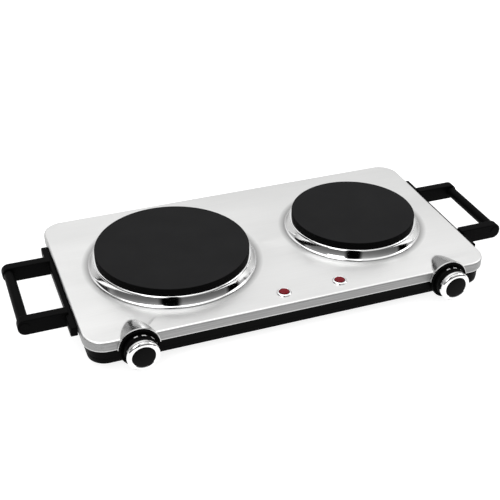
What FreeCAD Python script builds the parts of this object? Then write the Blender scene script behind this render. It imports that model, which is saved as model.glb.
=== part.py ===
import FreeCAD, Part
import math
import os

# Twin hot plate: steel top panel on a black moulded base, one large and one small cast plate,
# a turning control knob at each front corner, two pilot lamps and a carrying handle at each end.
# Millimetres. +Z up, -Y to the user, +X towards the small plate. Z = 0 is the table.

V = FreeCAD.Vector

# Top panel
PANEL_LENGTH = 495.0
PANEL_DEPTH = 265.0
PANEL_CORNER = 25.0
PANEL_FOLD = 2.5
PANEL_SHEET = 0.8
SKIRT_HEIGHT = 12.0

# Base moulding
BASE_INSET = 3.0
BASE_DRAFT = 1.2
BASE_WALL = 3.0
BASE_EDGE = 3.0
BASE_BELOW_SKIRT = 16.5
BASE_INTO_PANEL = 8.5
FLANGE_WIDTH = 16.0
FLANGE_THICK = 2.5

# Bottom sheet and feet
BOTTOM_SHEET = 0.8
BOTTOM_RECESS = 1.0
BOTTOM_MARGIN = 4.0
BOTTOM_PLAY = 0.3
FOOT_CLEARANCE = 13.0
FOOT_RADIUS = 10.0
FOOT_TAPER = 1.5
FOOT_ROUND = 1.0
FOOT_NECK = 4.0
FOOT_BARB = 1.2
FOOT_TIP = 3.0
FOOT_BARB_HEIGHT = 3.5
FOOT_IN_X = 31.5
FOOT_IN_Y = 48.5
VENT_LENGTH = 44.0
VENT_WIDTH = 4.0
VENT_PITCH = 11.0
VENT_COUNT = 7
VENT_END_FLAT = 0.02

# Cast plates and their trim rings
LARGE_PLATE = 185.0
SMALL_PLATE = 155.0
LARGE_IN_X = 135.1
SMALL_IN_X = 121.5
PLATE_RISE = 20.5
PLATE_SIDE = 8.7
PLATE_STEP = 1.0
PLATE_DISC = 9.0
PLATE_RIM = 6.0
PLATE_DRAFT = 2.0
PLATE_INNER_ROUND = 3.0
PLATE_BELOW_PANEL = 5.5
PLATE_EDGE = 1.2
RING_REACH = 8.9
RING_SHEET = 0.8
RING_FLAT = 1.3
RING_BEND = 3.0
RING_BEND_DROP = 1.2
RING_SHOULDER = 4.2
RING_SHOULDER_DROP = 3.4
RING_WALL = 5.8
RING_WALL_RISE = 2.6
RING_ROLL = 1.8
RING_ROLL_FLAT = 1.4
RING_ROLL_SHOULDER = 1.3
RING_ROLL_EDGE = 0.7
RING_ROLL_ROUND = 0.3
PANEL_HOLE_PLAY = 0.6

# Under the plates
ELEMENT_TUBE = 3.5
ELEMENT_OUTER = 0.62
ELEMENT_INNER = 0.36
ELEMENT_GAP_DEGREES = 25.0
ELEMENT_PIN = 1.5
ELEMENT_PIN_LENGTH = 6.0
ELEMENT_BELOW_SHIELD = 2.5
LEG_PLAY = 0.5
LEG_SPREAD = 16.0
SHIELD_SHEET = 0.6
SHIELD_DEPTH = 8.0
SHIELD_INSET = 8.5
SHIELD_FLANGE_INSET = 3.0
SHIELD_CORNER = 2.0
SHIELD_HOLE_PLAY = 0.4
INSULATION = 5.0
INSULATION_INSET = 3.0
INSULATION_HOLE_PLAY = 1.0
STUD_RADIUS = 3.0
STUD_BOSS = 8.0
STUD_BOSS_DEPTH = 6.0
STUD_INTO_PLATE = 2.0
STUD_PROUD = 1.0
STRAP_WIDTH = 20.0
STRAP_THICK = 2.0
STRAP_LAND = 11.0
STRAP_SET = 1.0
SPACER_HEIGHT = 4.0
SPACER_RADIUS = 6.0
NUT_HEIGHT = 5.0
NUT_FLATS = 10.0

# Controls
KNOB_IN_X = 57.1
KNOB_DROP = 13.5
KNOB_REACH = 21.8
KNOB_RING = 18.5
KNOB_SKIRT = 18.4
KNOB_BODY = 16.8
KNOB_FACE = 12.9
KNOB_TUCK = 1.5
KNOB_SKIRT_END = 8.4
KNOB_SKIRT_ROUND = 1.2
KNOB_SKIRT_BEND = 0.5
KNOB_SKIRT_BEND_END = 0.4
KNOB_RING_START = 13.6
KNOB_RING_SEAT = 3.9
KNOB_RING_EDGE = 0.9
KNOB_RING_SLOPE = 1.3
KNOB_RING_SLOPE_RISE = 0.5
KNOB_LIP = 1.2
KNOB_LIP_DROP = 1.0
KNOB_FACE_SEAT = 2.8
KNOB_FACE_EDGE = 0.7
KNOB_FACE_ROUND = 0.5
KNOB_CROWN = 0.2
KNOB_CROWN_BAND = 4.0
KNOB_GROOVE = 0.5
DOME_RADIUS = 24.3
DOME_SLOPE = 0.333
DOME_LIP = 2.0
COLLAR_GAP = 0.6
COLLAR_AHEAD = 4.0
COLLAR_UNDER_DOME = 6.0
COLLAR_TAPER = 0.35
COLLAR_WALL = 2.2
COLLAR_RECESS = 2.2
COLLAR_FACE = 2.4
COLLAR_HOLE_PLAY = 1.0
SHAFT_RADIUS = 3.0
SHAFT_FLAT = 1.0
SHAFT_FLAT_LENGTH = 11.0
SHAFT_PLAY = 0.05
SHAFT_TIP_DEPTH = 5.5
SHAFT_IN_SWITCH = 4.5
BUSH_RADIUS = 5.0
BUSH_LENGTH = 10.0
BUSH_PLAY = 0.1
BUSH_NUT_FLATS = 14.0
BUSH_NUT_HEIGHT = 3.5
THERMOSTAT_LENGTH = 24.0
THERMOSTAT_WIDTH = 26.0
THERMOSTAT_HEIGHT = 18.0
THERMOSTAT_WAIST = 5.0
THERMOSTAT_HEAD = 7.0
BLADE_WIDTH = 6.2
BLADE_THICK = 0.8
BLADE_LENGTH = 8.0
BLADE_OFFSET = 6.0
BLADE_DROP = 4.0
BRACKET_SHEET = 1.5
BRACKET_SETBACK = 35.0
BRACKET_SOLE = 20.0

# Pilot lamps
LAMP_MID_X = 22.7
LAMP_PITCH = 70.0
LAMP_SETBACK = 22.0
LAMP_LENS = 6.1
LENS_EDGE = 1.7
LENS_DOME = ((0.6, 0.6), (2.2, 1.3), (4.2, 1.7))
LENS_RISE = 3.5
LENS_STEM = 8.0
LAMP_BEZEL = 9.0
BEZEL_STEPS = ((0.0, 0.5), (0.5, 1.1), (1.4, 1.7), (2.3, 1.9))
BEZEL_INNER = 1.5
LAMP_HOLDER = 7.6
LAMP_HOLDER_HEIGHT = 13.0
LAMP_HOLDER_EDGE = 1.0
LAMP_PIN = 0.8
LAMP_PIN_OFFSET = 3.0
LAMP_PIN_LENGTH = 5.0

# Handles
HANDLE_REACH = 53.8
HANDLE_HALF = 61.0
HANDLE_ARM = 12.0
HANDLE_ARM_HEIGHT = 15.5
HANDLE_ARM_DROP = 3.0
HANDLE_ARM_ROUND = 1.5
HANDLE_FLANGE = 8.5
HANDLE_FLANGE_HALF = 88.0
HANDLE_FLANGE_HEIGHT = 10.5
HANDLE_FLANGE_DROP = 3.8
HANDLE_FLANGE_ROUND = 2.0
GRIP_RADIUS = 7.2
GRIP_SPIGOT = 4.5
CAP_RADIUS = 5.6
CAP_PROUD = 0.6
HANDLE_SCREW_IN_Y = 12.0
HANDLE_SCREW_RISE = 1.0
HANDLE_SCREW_WALL = 2.0

# Fasteners, cord inlet and wiring
PANEL_STUD = 2.0
POST_RADIUS = 4.5
POST_INSET = 13.0
MID_POST_INSET = 14.0
REAR_POST_X = -70.0
PANEL_NUT_FLATS = 7.0
PANEL_NUT_HEIGHT = 3.2
SCREW_RADIUS = 2.0
SCREW_HEAD = 3.6
SCREW_HEAD_HEIGHT = 2.6
SCREW_PAD = 5.0
FASTENER_PLAY = 0.3
INLET_X = 14.0
INLET_BORE = 3.4
INLET_NECK = 5.8
INLET_FLANGE = 7.8
INLET_RISE = 11.6
INLET_PLAY = 0.05
INLET_SETBACK = 0.2
INLET_LIP = 2.0
INLET_TAIL = 5.0
BLOCK_LENGTH = 46.0
BLOCK_DEPTH = 22.0
BLOCK_HEIGHT = 16.0
BLOCK_SETBACK = 20.0
BLOCK_SLOT = 1.6
BLOCK_SLOT_DEPTH = 6.0
WAY_PITCH = 11.0
WAY_BORE = 2.4
WAY_RISE = 6.0
WELL_IN_Y = 6.0
CLAMP_SCREW_RISE = 1.4
CLAMP_SCREW_LENGTH = 4.6
CLAMP_SLOT_WIDTH = 0.8
CLAMP_SLOT_DEPTH = 1.0
LEAD_RADIUS = 1.4
LEAD_BEND = 5.0
LEAD_ENTRY = 4.0
LEAD_LAYER = 3.0
LEAD_STRAIGHT = 12.0
LEAD_RETURN_STRAIGHT = 14.0
LEAD_RETURN_FALL = 30.0
LEAD_LOOP = 16.0
LANE_FEED = 10.0
LANE_RETURN = 26.0
LANE_SWITCH = 28.0

# Cuts run this far past a surface
CUT_PAST = 1.0

# Levels and planes that follow from the sizes above
BASE_BOTTOM = FOOT_CLEARANCE
SKIRT_BOTTOM = BASE_BOTTOM + BASE_BELOW_SKIRT
PANEL_TOP = SKIRT_BOTTOM + SKIRT_HEIGHT
PANEL_UNDER = PANEL_TOP - PANEL_SHEET
BASE_TOP = SKIRT_BOTTOM + BASE_INTO_PANEL
BOTTOM_TOP = BASE_BOTTOM + BOTTOM_RECESS
BOTTOM_UNDER = BOTTOM_TOP - BOTTOM_SHEET
FLANGE_TOP = BOTTOM_TOP + FLANGE_THICK
PLATE_TOP = PANEL_TOP + PLATE_RISE
PLATE_LEDGE = PLATE_TOP - PLATE_SIDE
PLATE_BOTTOM = PANEL_TOP - PLATE_BELOW_PANEL
STUD_TOP = PLATE_LEDGE + STUD_INTO_PLATE
SHIELD_LOW = PLATE_BOTTOM - SHIELD_DEPTH
PIN_END = SHIELD_LOW - ELEMENT_BELOW_SHIELD
STRAP_LOW = SHIELD_LOW - SPACER_HEIGHT - STRAP_THICK
END_X = PANEL_LENGTH / 2
FRONT = -PANEL_DEPTH / 2
BASE_END_X = END_X - BASE_INSET
BASE_BACK = PANEL_DEPTH / 2 - BASE_INSET
LARGE_X = LARGE_IN_X - END_X
SMALL_X = END_X - SMALL_IN_X
FOOT_X = END_X - FOOT_IN_X
FOOT_Y = PANEL_DEPTH / 2 - FOOT_IN_Y
KNOB_X = END_X - KNOB_IN_X
KNOB_Z = PANEL_TOP - KNOB_DROP
KNOB_SEAT = KNOB_REACH - KNOB_FACE_SEAT
KNOB_RING_BORE = KNOB_RING - KNOB_RING_SEAT
DOME_LENGTH = 2 * DOME_RADIUS
COLLAR_RADIUS = DOME_RADIUS - PANEL_SHEET - COLLAR_GAP
BRACKET_Y = FRONT + BRACKET_SETBACK
SWITCH_Y = BRACKET_Y + BRACKET_SHEET
LAMP_Y = FRONT + LAMP_SETBACK
GRIP_X = END_X + HANDLE_REACH
GRIP_Z = PANEL_TOP - HANDLE_ARM_DROP - HANDLE_ARM_HEIGHT / 2
GRIP_END = HANDLE_HALF - CAP_RADIUS / 3
HANDLE_SCREW_Y = HANDLE_FLANGE_HALF - HANDLE_SCREW_IN_Y
HANDLE_SCREW_Z = PANEL_TOP - HANDLE_FLANGE_DROP - HANDLE_FLANGE_HEIGHT / 2 + HANDLE_SCREW_RISE
HANDLE_SCREW_TIP = END_X + HANDLE_FLANGE - HANDLE_SCREW_WALL
INLET_Z = BASE_BOTTOM + INLET_RISE
BLOCK_Y = BASE_BACK - BLOCK_DEPTH - BLOCK_SETBACK
WAY_Z = BOTTOM_TOP + WAY_RISE
SIDES = (("left", -1), ("right", 1))

# The box of the whole object is centred on the origin
ORIGIN_SHIFT = V(0, KNOB_REACH / 2, 0)


def outline(length, depth, corner, level):
    """Rectangle with round corners, as a closed wire at one level."""
    x = length / 2
    y = depth / 2
    k = corner * (1 - math.sqrt(0.5))
    points = [
        V(corner - x, -y, level), V(x - corner, -y, level),
        V(x - k, k - y, level), V(x, corner - y, level),
        V(x, y - corner, level), V(x - k, y - k, level),
        V(x - corner, y, level), V(corner - x, y, level),
        V(k - x, y - k, level), V(-x, y - corner, level),
        V(-x, corner - y, level), V(k - x, k - y, level),
    ]
    edges = []
    for i in range(0, 12, 3):
        a, b, c, d = points[i], points[i + 1], points[i + 2], points[(i + 3) % 12]
        edges.append(Part.makeLine(a, b))
        edges.append(Part.Arc(b, c, d).toShape())
    return Part.Wire(edges)


def slab(length, depth, corner, bottom, top):
    """Block with round upright corners."""
    return Part.Face(outline(length, depth, corner, bottom)).extrude(V(0, 0, top - bottom))


def panel_outline(inset, level):
    """The panel's outline drawn in by an inset."""
    return outline(PANEL_LENGTH - 2 * inset, PANEL_DEPTH - 2 * inset, PANEL_CORNER - inset, level)


def panel_slab(inset, bottom, top):
    """Block of the panel's outline, drawn in by an inset."""
    return Part.Face(panel_outline(inset, bottom)).extrude(V(0, 0, top - bottom))


def edges_at(shape, level):
    """Edges that lie wholly in one level plane."""
    found = []
    for edge in shape.Edges:
        span = edge.BoundBox
        if abs(span.ZMin - level) < 1e-4 and abs(span.ZMax - level) < 1e-4:
            found.append(edge)
    return found


def box(x0, x1, y0, y1, z0, z1):
    return Part.makeBox(x1 - x0, y1 - y0, z1 - z0, V(x0, y0, z0))


def upright(x, y, radius, bottom, top):
    """Round bar along Z."""
    return Part.makeCylinder(radius, top - bottom, V(x, y, bottom), V(0, 0, 1))


def along_y(x, z, radius, y0, y1):
    """Round bar along Y."""
    return Part.makeCylinder(radius, y1 - y0, V(x, y0, z), V(0, 1, 0))


def along_x(y, z, radius, x0, x1):
    """Round bar along X."""
    return Part.makeCylinder(radius, x1 - x0, V(x0, y, z), V(1, 0, 0))


def turned(points, x, y):
    """Solid turned about a vertical axis from (radius, level) points."""
    wire = Part.makePolygon([V(x + r, y, z) for r, z in points + points[:1]])
    return Part.Face(wire).revolve(V(x, y, 0), V(0, 0, 1), 360)


def knob_turned(points, x):
    """Solid turned about a knob axis from (radius, distance in front of the panel) points."""
    wire = Part.makePolygon([V(x + r, FRONT - p, KNOB_Z) for r, p in points + points[:1]])
    return Part.Face(wire).revolve(V(x, 0, KNOB_Z), V(0, 1, 0), 360)


def knob_cone(x, radius, behind):
    """Cone about a knob axis, radius given at the front plane and falling towards the back."""
    far = radius - COLLAR_TAPER * behind
    return Part.makeCone(radius, far, behind, V(x, FRONT, KNOB_Z), V(0, 1, 0))


def knob_slant(x, radius, behind):
    """Round bar that starts on a knob axis at the front plane and sinks towards the back."""
    ring = Part.makeCircle(radius, V(x, FRONT, KNOB_Z), V(0, 1, 0))
    return Part.Face(Part.Wire([ring])).extrude(V(0, behind, -DOME_SLOPE * behind))


def dome_form(x, radius, start):
    """Dome form: straight from a start ahead of the front plane, then sinking towards the back."""
    return along_y(x, KNOB_Z, radius, FRONT - start, FRONT).fuse(knob_slant(x, radius, DOME_LENGTH))


def collar_form(x, radius, start, behind):
    """Collar form from a start ahead of the front plane: sinks under the dome above, tapers below."""
    upper = box(x - DOME_LENGTH, x + DOME_LENGTH, FRONT - DOME_LENGTH, FRONT + COLLAR_UNDER_DOME,
                KNOB_Z, KNOB_Z + DOME_LENGTH)
    lower = box(x - DOME_LENGTH, x + DOME_LENGTH, FRONT - DOME_LENGTH, FRONT + DOME_LENGTH,
                KNOB_Z - DOME_LENGTH, KNOB_Z)
    front = along_y(x, KNOB_Z, radius, FRONT - start, FRONT)
    above = knob_slant(x, radius, COLLAR_UNDER_DOME).common(upper)
    below = knob_cone(x, radius, behind).common(lower)
    return front.fuse([above, below])


def hexagon(flats, height, start, axis):
    """Hexagonal bar of a given width across flats."""
    radius = flats / math.sqrt(3)
    corners = []
    for i in range(7):
        turn = math.radians(60 * i)
        corners.append(V(radius * math.cos(turn), radius * math.sin(turn), 0))
    bar = Part.Face(Part.makePolygon(corners)).extrude(V(0, 0, height))
    bar.Placement = FreeCAD.Placement(start, FreeCAD.Rotation(V(0, 0, 1), axis))
    return bar


def lead(points):
    """Round wire through the points, every corner turned with the same bend."""
    edges = []
    start = points[0]
    for before, corner, after in zip(points, points[1:], points[2:]):
        back = (before - corner).normalize()
        ahead = (after - corner).normalize()
        half = back.getAngle(ahead) / 2
        reach = LEAD_BEND / math.tan(half)
        middle = (back + ahead).normalize() * (LEAD_BEND / math.sin(half) - LEAD_BEND)
        edges.append(Part.makeLine(start, corner + back * reach))
        edges.append(Part.Arc(corner + back * reach, corner + middle, corner + ahead * reach).toShape())
        start = corner + ahead * reach
    edges.append(Part.makeLine(start, points[-1]))
    circle = Part.Wire([Part.makeCircle(LEAD_RADIUS, points[0], points[1] - points[0])])
    return Part.Wire(edges).makePipeShell([circle], True, False)


def keep(name, *solids):
    """Write one node, placed so that the whole object's box is centred."""
    shape = solids[0] if len(solids) == 1 else Part.makeCompound(list(solids))
    shape = shape.copy()
    shape.translate(ORIGIN_SHIFT)
    shape.exportStep("parts/" + name + ".step")


def post_places():
    """Six places where the panel is bolted through the base."""
    x = BASE_END_X - POST_INSET
    y = BASE_BACK - POST_INSET
    mid_y = BASE_BACK - MID_POST_INSET
    return [(-x, -y), (x, -y), (-x, y), (x, y), (LAMP_MID_X, -mid_y), (REAR_POST_X, mid_y)]


def lamp_places():
    return [("left", LAMP_MID_X - LAMP_PITCH / 2), ("right", LAMP_MID_X + LAMP_PITCH / 2)]


def plate_data():
    return [("left", LARGE_X, LARGE_PLATE / 2), ("right", SMALL_X, SMALL_PLATE / 2)]


def handle_screw_hole(y):
    """Clearance bore for the handle screws, right through from end to end."""
    return along_x(y, HANDLE_SCREW_Z, SCREW_RADIUS + FASTENER_PLAY, -PANEL_LENGTH, PANEL_LENGTH)


def make_top_panel():
    """Pressed sheet: folded skirt, two domes over the controls, holes for plates and lamps."""
    skin = panel_slab(0, SKIRT_BOTTOM, PANEL_TOP)
    skin = skin.makeFillet(PANEL_FOLD, edges_at(skin, PANEL_TOP))
    hollow = panel_slab(PANEL_SHEET, SKIRT_BOTTOM - CUT_PAST, PANEL_UNDER)
    hollow = hollow.makeFillet(PANEL_FOLD - PANEL_SHEET, edges_at(hollow, PANEL_UNDER))
    above = box(-PANEL_LENGTH, PANEL_LENGTH, FRONT - DOME_LENGTH, 0, SKIRT_BOTTOM, PANEL_TOP + DOME_LENGTH)
    for side, sign in SIDES:
        skin = skin.fuse(dome_form(sign * KNOB_X, DOME_RADIUS, DOME_LIP).common(above))
    panel = skin.cut(hollow)
    for side, sign in SIDES:
        panel = panel.cut(dome_form(sign * KNOB_X, DOME_RADIUS - PANEL_SHEET, DOME_LIP + CUT_PAST))
    under = PANEL_UNDER - CUT_PAST
    over = PANEL_TOP + CUT_PAST
    for side, x, radius in plate_data():
        panel = panel.cut(upright(x, 0, radius + PANEL_HOLE_PLAY, under, over))
    for side, x in lamp_places():
        panel = panel.cut(upright(x, LAMP_Y, LAMP_LENS + FASTENER_PLAY, under, over))
    for y in (-HANDLE_SCREW_Y, HANDLE_SCREW_Y):
        panel = panel.cut(handle_screw_hole(y))
    return panel.removeSplitter()


def make_base_frame():
    """Black moulding: drafted wall, inward flange, screw posts and a tapered collar at each knob."""
    wires = [panel_outline(BASE_INSET + BASE_DRAFT, BASE_BOTTOM), panel_outline(BASE_INSET, SKIRT_BOTTOM)]
    lower = Part.makeLoft(wires, True, True)
    lower = lower.makeFillet(BASE_EDGE, edges_at(lower, BASE_BOTTOM))
    frame = lower.fuse(panel_slab(BASE_INSET, SKIRT_BOTTOM, BASE_TOP))
    inner_wall = BASE_INSET + BASE_WALL
    frame = frame.cut(panel_slab(inner_wall, FLANGE_TOP, BASE_TOP + CUT_PAST))
    window = inner_wall + FLANGE_WIDTH
    frame = frame.cut(slab(PANEL_LENGTH - 2 * window, PANEL_DEPTH - 2 * window, PANEL_CORNER - inner_wall,
                           BASE_BOTTOM - CUT_PAST, FLANGE_TOP + CUT_PAST))
    frame = frame.cut(panel_slab(BASE_INSET + BOTTOM_MARGIN, BASE_BOTTOM - CUT_PAST, BOTTOM_TOP))
    collar_length = (COLLAR_RADIUS - KNOB_DROP + PANEL_SHEET) / COLLAR_TAPER
    inside = COLLAR_RADIUS - COLLAR_WALL
    face_front = FRONT - COLLAR_AHEAD + COLLAR_RECESS
    face_back = face_front + COLLAR_FACE
    for side, sign in SIDES:
        x = sign * KNOB_X
        frame = frame.fuse(collar_form(x, COLLAR_RADIUS, COLLAR_AHEAD, collar_length))
        cavity = collar_form(x, inside, COLLAR_AHEAD + CUT_PAST, collar_length + CUT_PAST)
        frame = frame.cut(cavity.cut(along_y(x, KNOB_Z, DOME_RADIUS, face_front, face_back)))
        hole = SHAFT_RADIUS + COLLAR_HOLE_PLAY
        frame = frame.cut(along_y(x, KNOB_Z, hole, face_front - CUT_PAST, face_back + CUT_PAST))
    for x, y in post_places():
        frame = frame.fuse(upright(x, y, POST_RADIUS, BOTTOM_TOP, PANEL_UNDER))
        bore = PANEL_STUD + FASTENER_PLAY
        frame = frame.cut(upright(x, y, bore, BASE_BOTTOM - CUT_PAST, PANEL_UNDER + CUT_PAST))
    for y in (-HANDLE_SCREW_Y, HANDLE_SCREW_Y):
        for side, sign in SIDES:
            span = sorted((sign * (BASE_END_X - CUT_PAST), sign * (END_X - PANEL_SHEET)))
            frame = frame.fuse(along_x(y, HANDLE_SCREW_Z, SCREW_PAD, span[0], span[1]))
        frame = frame.cut(handle_screw_hole(y))
    notch_front = BASE_BACK - BASE_WALL - CUT_PAST
    notch_back = BASE_BACK + CUT_PAST
    frame = frame.cut(along_y(INLET_X, INLET_Z, INLET_NECK, notch_front, notch_back))
    frame = frame.cut(box(INLET_X - INLET_NECK, INLET_X + INLET_NECK, notch_front, notch_back,
                          INLET_Z, BASE_TOP + CUT_PAST))
    return frame.removeSplitter()


def vent_slot(x, y):
    """Cutter of one round-ended vent."""
    corner = (VENT_WIDTH - VENT_END_FLAT) / 2
    slot = slab(VENT_WIDTH, VENT_LENGTH, corner, BOTTOM_UNDER - CUT_PAST, BOTTOM_TOP + CUT_PAST)
    slot.translate(V(x, y, 0))
    return slot


def make_bottom_sheet():
    """Flat closing sheet with two banks of vent slots, notched round the collars."""
    sheet = panel_slab(BASE_INSET + BOTTOM_MARGIN + BOTTOM_PLAY, BOTTOM_UNDER, BOTTOM_TOP)
    low = BOTTOM_UNDER - CUT_PAST
    high = BOTTOM_TOP + CUT_PAST
    cutters = []
    for side, sign in SIDES:
        cutters.append(knob_cone(sign * KNOB_X, COLLAR_RADIUS + FASTENER_PLAY, DOME_LENGTH))
        for sy in (-1, 1):
            cutters.append(upright(sign * FOOT_X, sy * FOOT_Y, FOOT_NECK, low, high))
    for x, y in post_places():
        cutters.append(upright(x, y, PANEL_STUD + FASTENER_PLAY, low, high))
    for side, x, radius in plate_data():
        for i in range(VENT_COUNT):
            vent_x = x + (i - (VENT_COUNT - 1) / 2) * VENT_PITCH
            for sy in (-1, 1):
                cutters.append(vent_slot(vent_x, sy * (STRAP_WIDTH + VENT_LENGTH) / 2))
    return sheet.cut(cutters)


def make_foot(x, y):
    """Rubber foot with a barbed neck that snaps through the bottom sheet."""
    tip = BOTTOM_TOP + FOOT_BARB_HEIGHT
    return turned([
        (0, 0), (FOOT_RADIUS - FOOT_TAPER - FOOT_ROUND, 0), (FOOT_RADIUS - FOOT_TAPER, FOOT_ROUND),
        (FOOT_RADIUS, BOTTOM_UNDER), (FOOT_NECK, BOTTOM_UNDER), (FOOT_NECK, BOTTOM_TOP),
        (FOOT_NECK + FOOT_BARB, BOTTOM_TOP), (FOOT_TIP, tip), (0, tip),
    ], x, y)


def make_plate(x, radius):
    """Cast plate: flat top, deep rim, ledge that clamps the trim ring, centre boss for the stud."""
    rim = radius - PLATE_STEP
    wall = rim - PLATE_RIM
    under = PLATE_TOP - PLATE_DISC
    boss = under - STUD_BOSS_DEPTH
    plate = turned([
        (0, PLATE_TOP), (radius - PLATE_EDGE, PLATE_TOP), (radius, PLATE_TOP - PLATE_EDGE),
        (radius, PLATE_LEDGE), (rim, PLATE_LEDGE), (rim, PLATE_BOTTOM), (wall + PLATE_DRAFT, PLATE_BOTTOM),
        (wall, under - PLATE_INNER_ROUND), (wall - PLATE_INNER_ROUND, under),
        (STUD_BOSS + PLATE_DRAFT, under),
        (STUD_BOSS, boss), (0, boss),
    ], x, 0)
    return plate.cut(upright(x, 0, STUD_RADIUS, boss - CUT_PAST, STUD_TOP))


def make_ring(x, radius):
    """Trim ring pressed from sheet: lip under the plate's ledge, shoulder, wall and rolled foot."""
    t = RING_SHEET
    lip = radius - PLATE_STEP
    flat = radius + RING_FLAT
    bend = radius + RING_BEND
    shoulder = radius + RING_SHOULDER
    wall = radius + RING_WALL
    foot = radius + RING_REACH
    top = PLATE_LEDGE
    z = PANEL_TOP
    return turned([
        (lip, top), (flat, top), (bend, top - RING_BEND_DROP), (shoulder, top - RING_SHOULDER_DROP),
        (wall, z + RING_WALL_RISE), (foot - RING_ROLL_FLAT, z + RING_ROLL),
        (foot - RING_ROLL_ROUND, z + RING_ROLL_SHOULDER), (foot, z + RING_ROLL_EDGE),
        (foot - RING_ROLL_ROUND, z), (wall - 0.75 * t, z), (wall - 1.75 * t, z + RING_ROLL),
        (shoulder - t, top - RING_SHOULDER_DROP - t / 4),
        (bend - t / 2, top - RING_BEND_DROP - t), (flat - t / 4, top - t), (lip, top - t),
    ], x, 0)


def element_legs(x, radius):
    """Places of the heater's two legs, clear of the clamp strap."""
    return [(x - LEG_SPREAD, -ELEMENT_OUTER * radius), (x + LEG_SPREAD, -ELEMENT_OUTER * radius)]


def make_element(x, radius):
    """Sheathed heater: two concentric loops against the plate, joined, with two legs to the front."""
    tube = ELEMENT_TUBE
    level = PLATE_TOP - PLATE_DISC - tube
    legs = element_legs(x, radius)
    inner = ELEMENT_INNER * radius
    outer = math.hypot(legs[0][0] - x, legs[0][1])
    half_gap = math.degrees(math.asin((x - legs[0][0]) / outer))
    parts = []
    for loop, gap in ((outer, half_gap), (inner, ELEMENT_GAP_DEGREES)):
        profile = Part.Face(Part.Wire([Part.makeCircle(tube, V(x, -loop, level), V(1, 0, 0))]))
        profile.rotate(V(x, 0, 0), V(0, 0, 1), gap)
        parts.append(profile.revolve(V(x, 0, 0), V(0, 0, 1), 360 - 2 * gap))
    parts.append(along_y(x, level, tube, inner, outer))
    for leg_x, leg_y in legs:
        parts.append(Part.makeSphere(tube, V(leg_x, leg_y, level)))
        parts.append(upright(leg_x, leg_y, tube, PIN_END + ELEMENT_PIN_LENGTH, level))
        parts.append(upright(leg_x, leg_y, ELEMENT_PIN, PIN_END, level))
    return parts[0].fuse(parts[1:]).removeSplitter()


def make_shield(x, radius):
    """Dished reflector under the plate, held up against the plate's rim."""
    t = SHIELD_SHEET
    top = PLATE_BOTTOM
    low = SHIELD_LOW
    bore = STUD_RADIUS + SHIELD_HOLE_PLAY
    wall = radius - SHIELD_INSET
    flange = radius - SHIELD_FLANGE_INSET
    corner = SHIELD_CORNER + t / 3
    dish = turned([
        (bore, low), (wall - SHIELD_CORNER, low), (wall, low + SHIELD_CORNER), (wall, top - t),
        (flange, top - t), (flange, top), (wall - t, top), (wall - t, low + corner),
        (wall - corner, low + t), (bore, low + t),
    ], x, 0)
    hole = ELEMENT_TUBE + LEG_PLAY
    return dish.cut([upright(a, b, hole, low - CUT_PAST, top) for a, b in element_legs(x, radius)])


def make_insulation(x, radius):
    """Fibre disc lying in the reflector."""
    low = SHIELD_LOW + SHIELD_SHEET
    high = low + INSULATION
    bore = STUD_RADIUS + INSULATION_HOLE_PLAY
    edge = radius - SHIELD_INSET - INSULATION_INSET
    disc = turned([(bore, low), (edge, low), (edge, high), (bore, high)], x, 0)
    hole = ELEMENT_TUBE + FASTENER_PLAY
    bottom, top = low - CUT_PAST, high + CUT_PAST
    return disc.cut([upright(a, b, hole, bottom, top) for a, b in element_legs(x, radius)])


def make_strap(x, radius):
    """Bent clamp bar that bears under the panel on both sides of the hole."""
    t = STRAP_THICK
    low = STRAP_LOW
    top = PANEL_UNDER
    land = radius + PANEL_HOLE_PLAY + STRAP_SET
    end = land + STRAP_LAND
    knee = radius - SHIELD_INSET + t
    profile = [(knee - 0.5 * t, low), (knee + 0.75 * t, low + 0.5 * t), (land + t, top - t), (end, top - t),
               (end, top), (land, top), (knee - 0.25 * t, low + 1.3 * t), (knee - 0.75 * t, low + t)]
    half = [V(x, y, z) for y, z in profile]
    other = [V(x, -y, z) for y, z in reversed(profile)]
    strap = Part.Face(Part.makePolygon(half + other + half[:1])).extrude(V(STRAP_WIDTH, 0, 0))
    strap.translate(V(-STRAP_WIDTH / 2, 0, 0))
    return strap.cut(upright(x, 0, STUD_RADIUS + FASTENER_PLAY, low - CUT_PAST, low + t + CUT_PAST))


def make_thermostat(x):
    """Switch body with a threaded bush through its bracket and two terminal blades at the back."""
    y0 = SWITCH_Y
    y1 = y0 + THERMOSTAT_LENGTH
    half = THERMOSTAT_WIDTH / 2
    low = KNOB_Z - THERMOSTAT_HEIGHT / 2
    top = KNOB_Z + THERMOSTAT_HEIGHT / 2
    body = box(x - half, x + half, y0, y1, low, top)
    for sign in (-1, 1):
        span = sorted((x + sign * (half - THERMOSTAT_WAIST), x + sign * (half + CUT_PAST)))
        body = body.cut(box(span[0], span[1], y0 + THERMOSTAT_HEAD, y1 - THERMOSTAT_WAIST,
                            low - CUT_PAST, top + CUT_PAST))
        blade_x = x + sign * BLADE_OFFSET
        blade_z = KNOB_Z - BLADE_DROP
        body = body.fuse(box(blade_x - BLADE_WIDTH / 2, blade_x + BLADE_WIDTH / 2, y1 - CUT_PAST,
                             y1 + BLADE_LENGTH, blade_z - BLADE_THICK / 2, blade_z + BLADE_THICK / 2))
    body = body.fuse(along_y(x, KNOB_Z, BUSH_RADIUS, y0 - BUSH_LENGTH, y0 + CUT_PAST))
    bore_end = y0 + SHAFT_IN_SWITCH + LEG_PLAY
    return body.cut(along_y(x, KNOB_Z, SHAFT_RADIUS + SHAFT_PLAY, y0 - BUSH_LENGTH - CUT_PAST, bore_end))


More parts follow.
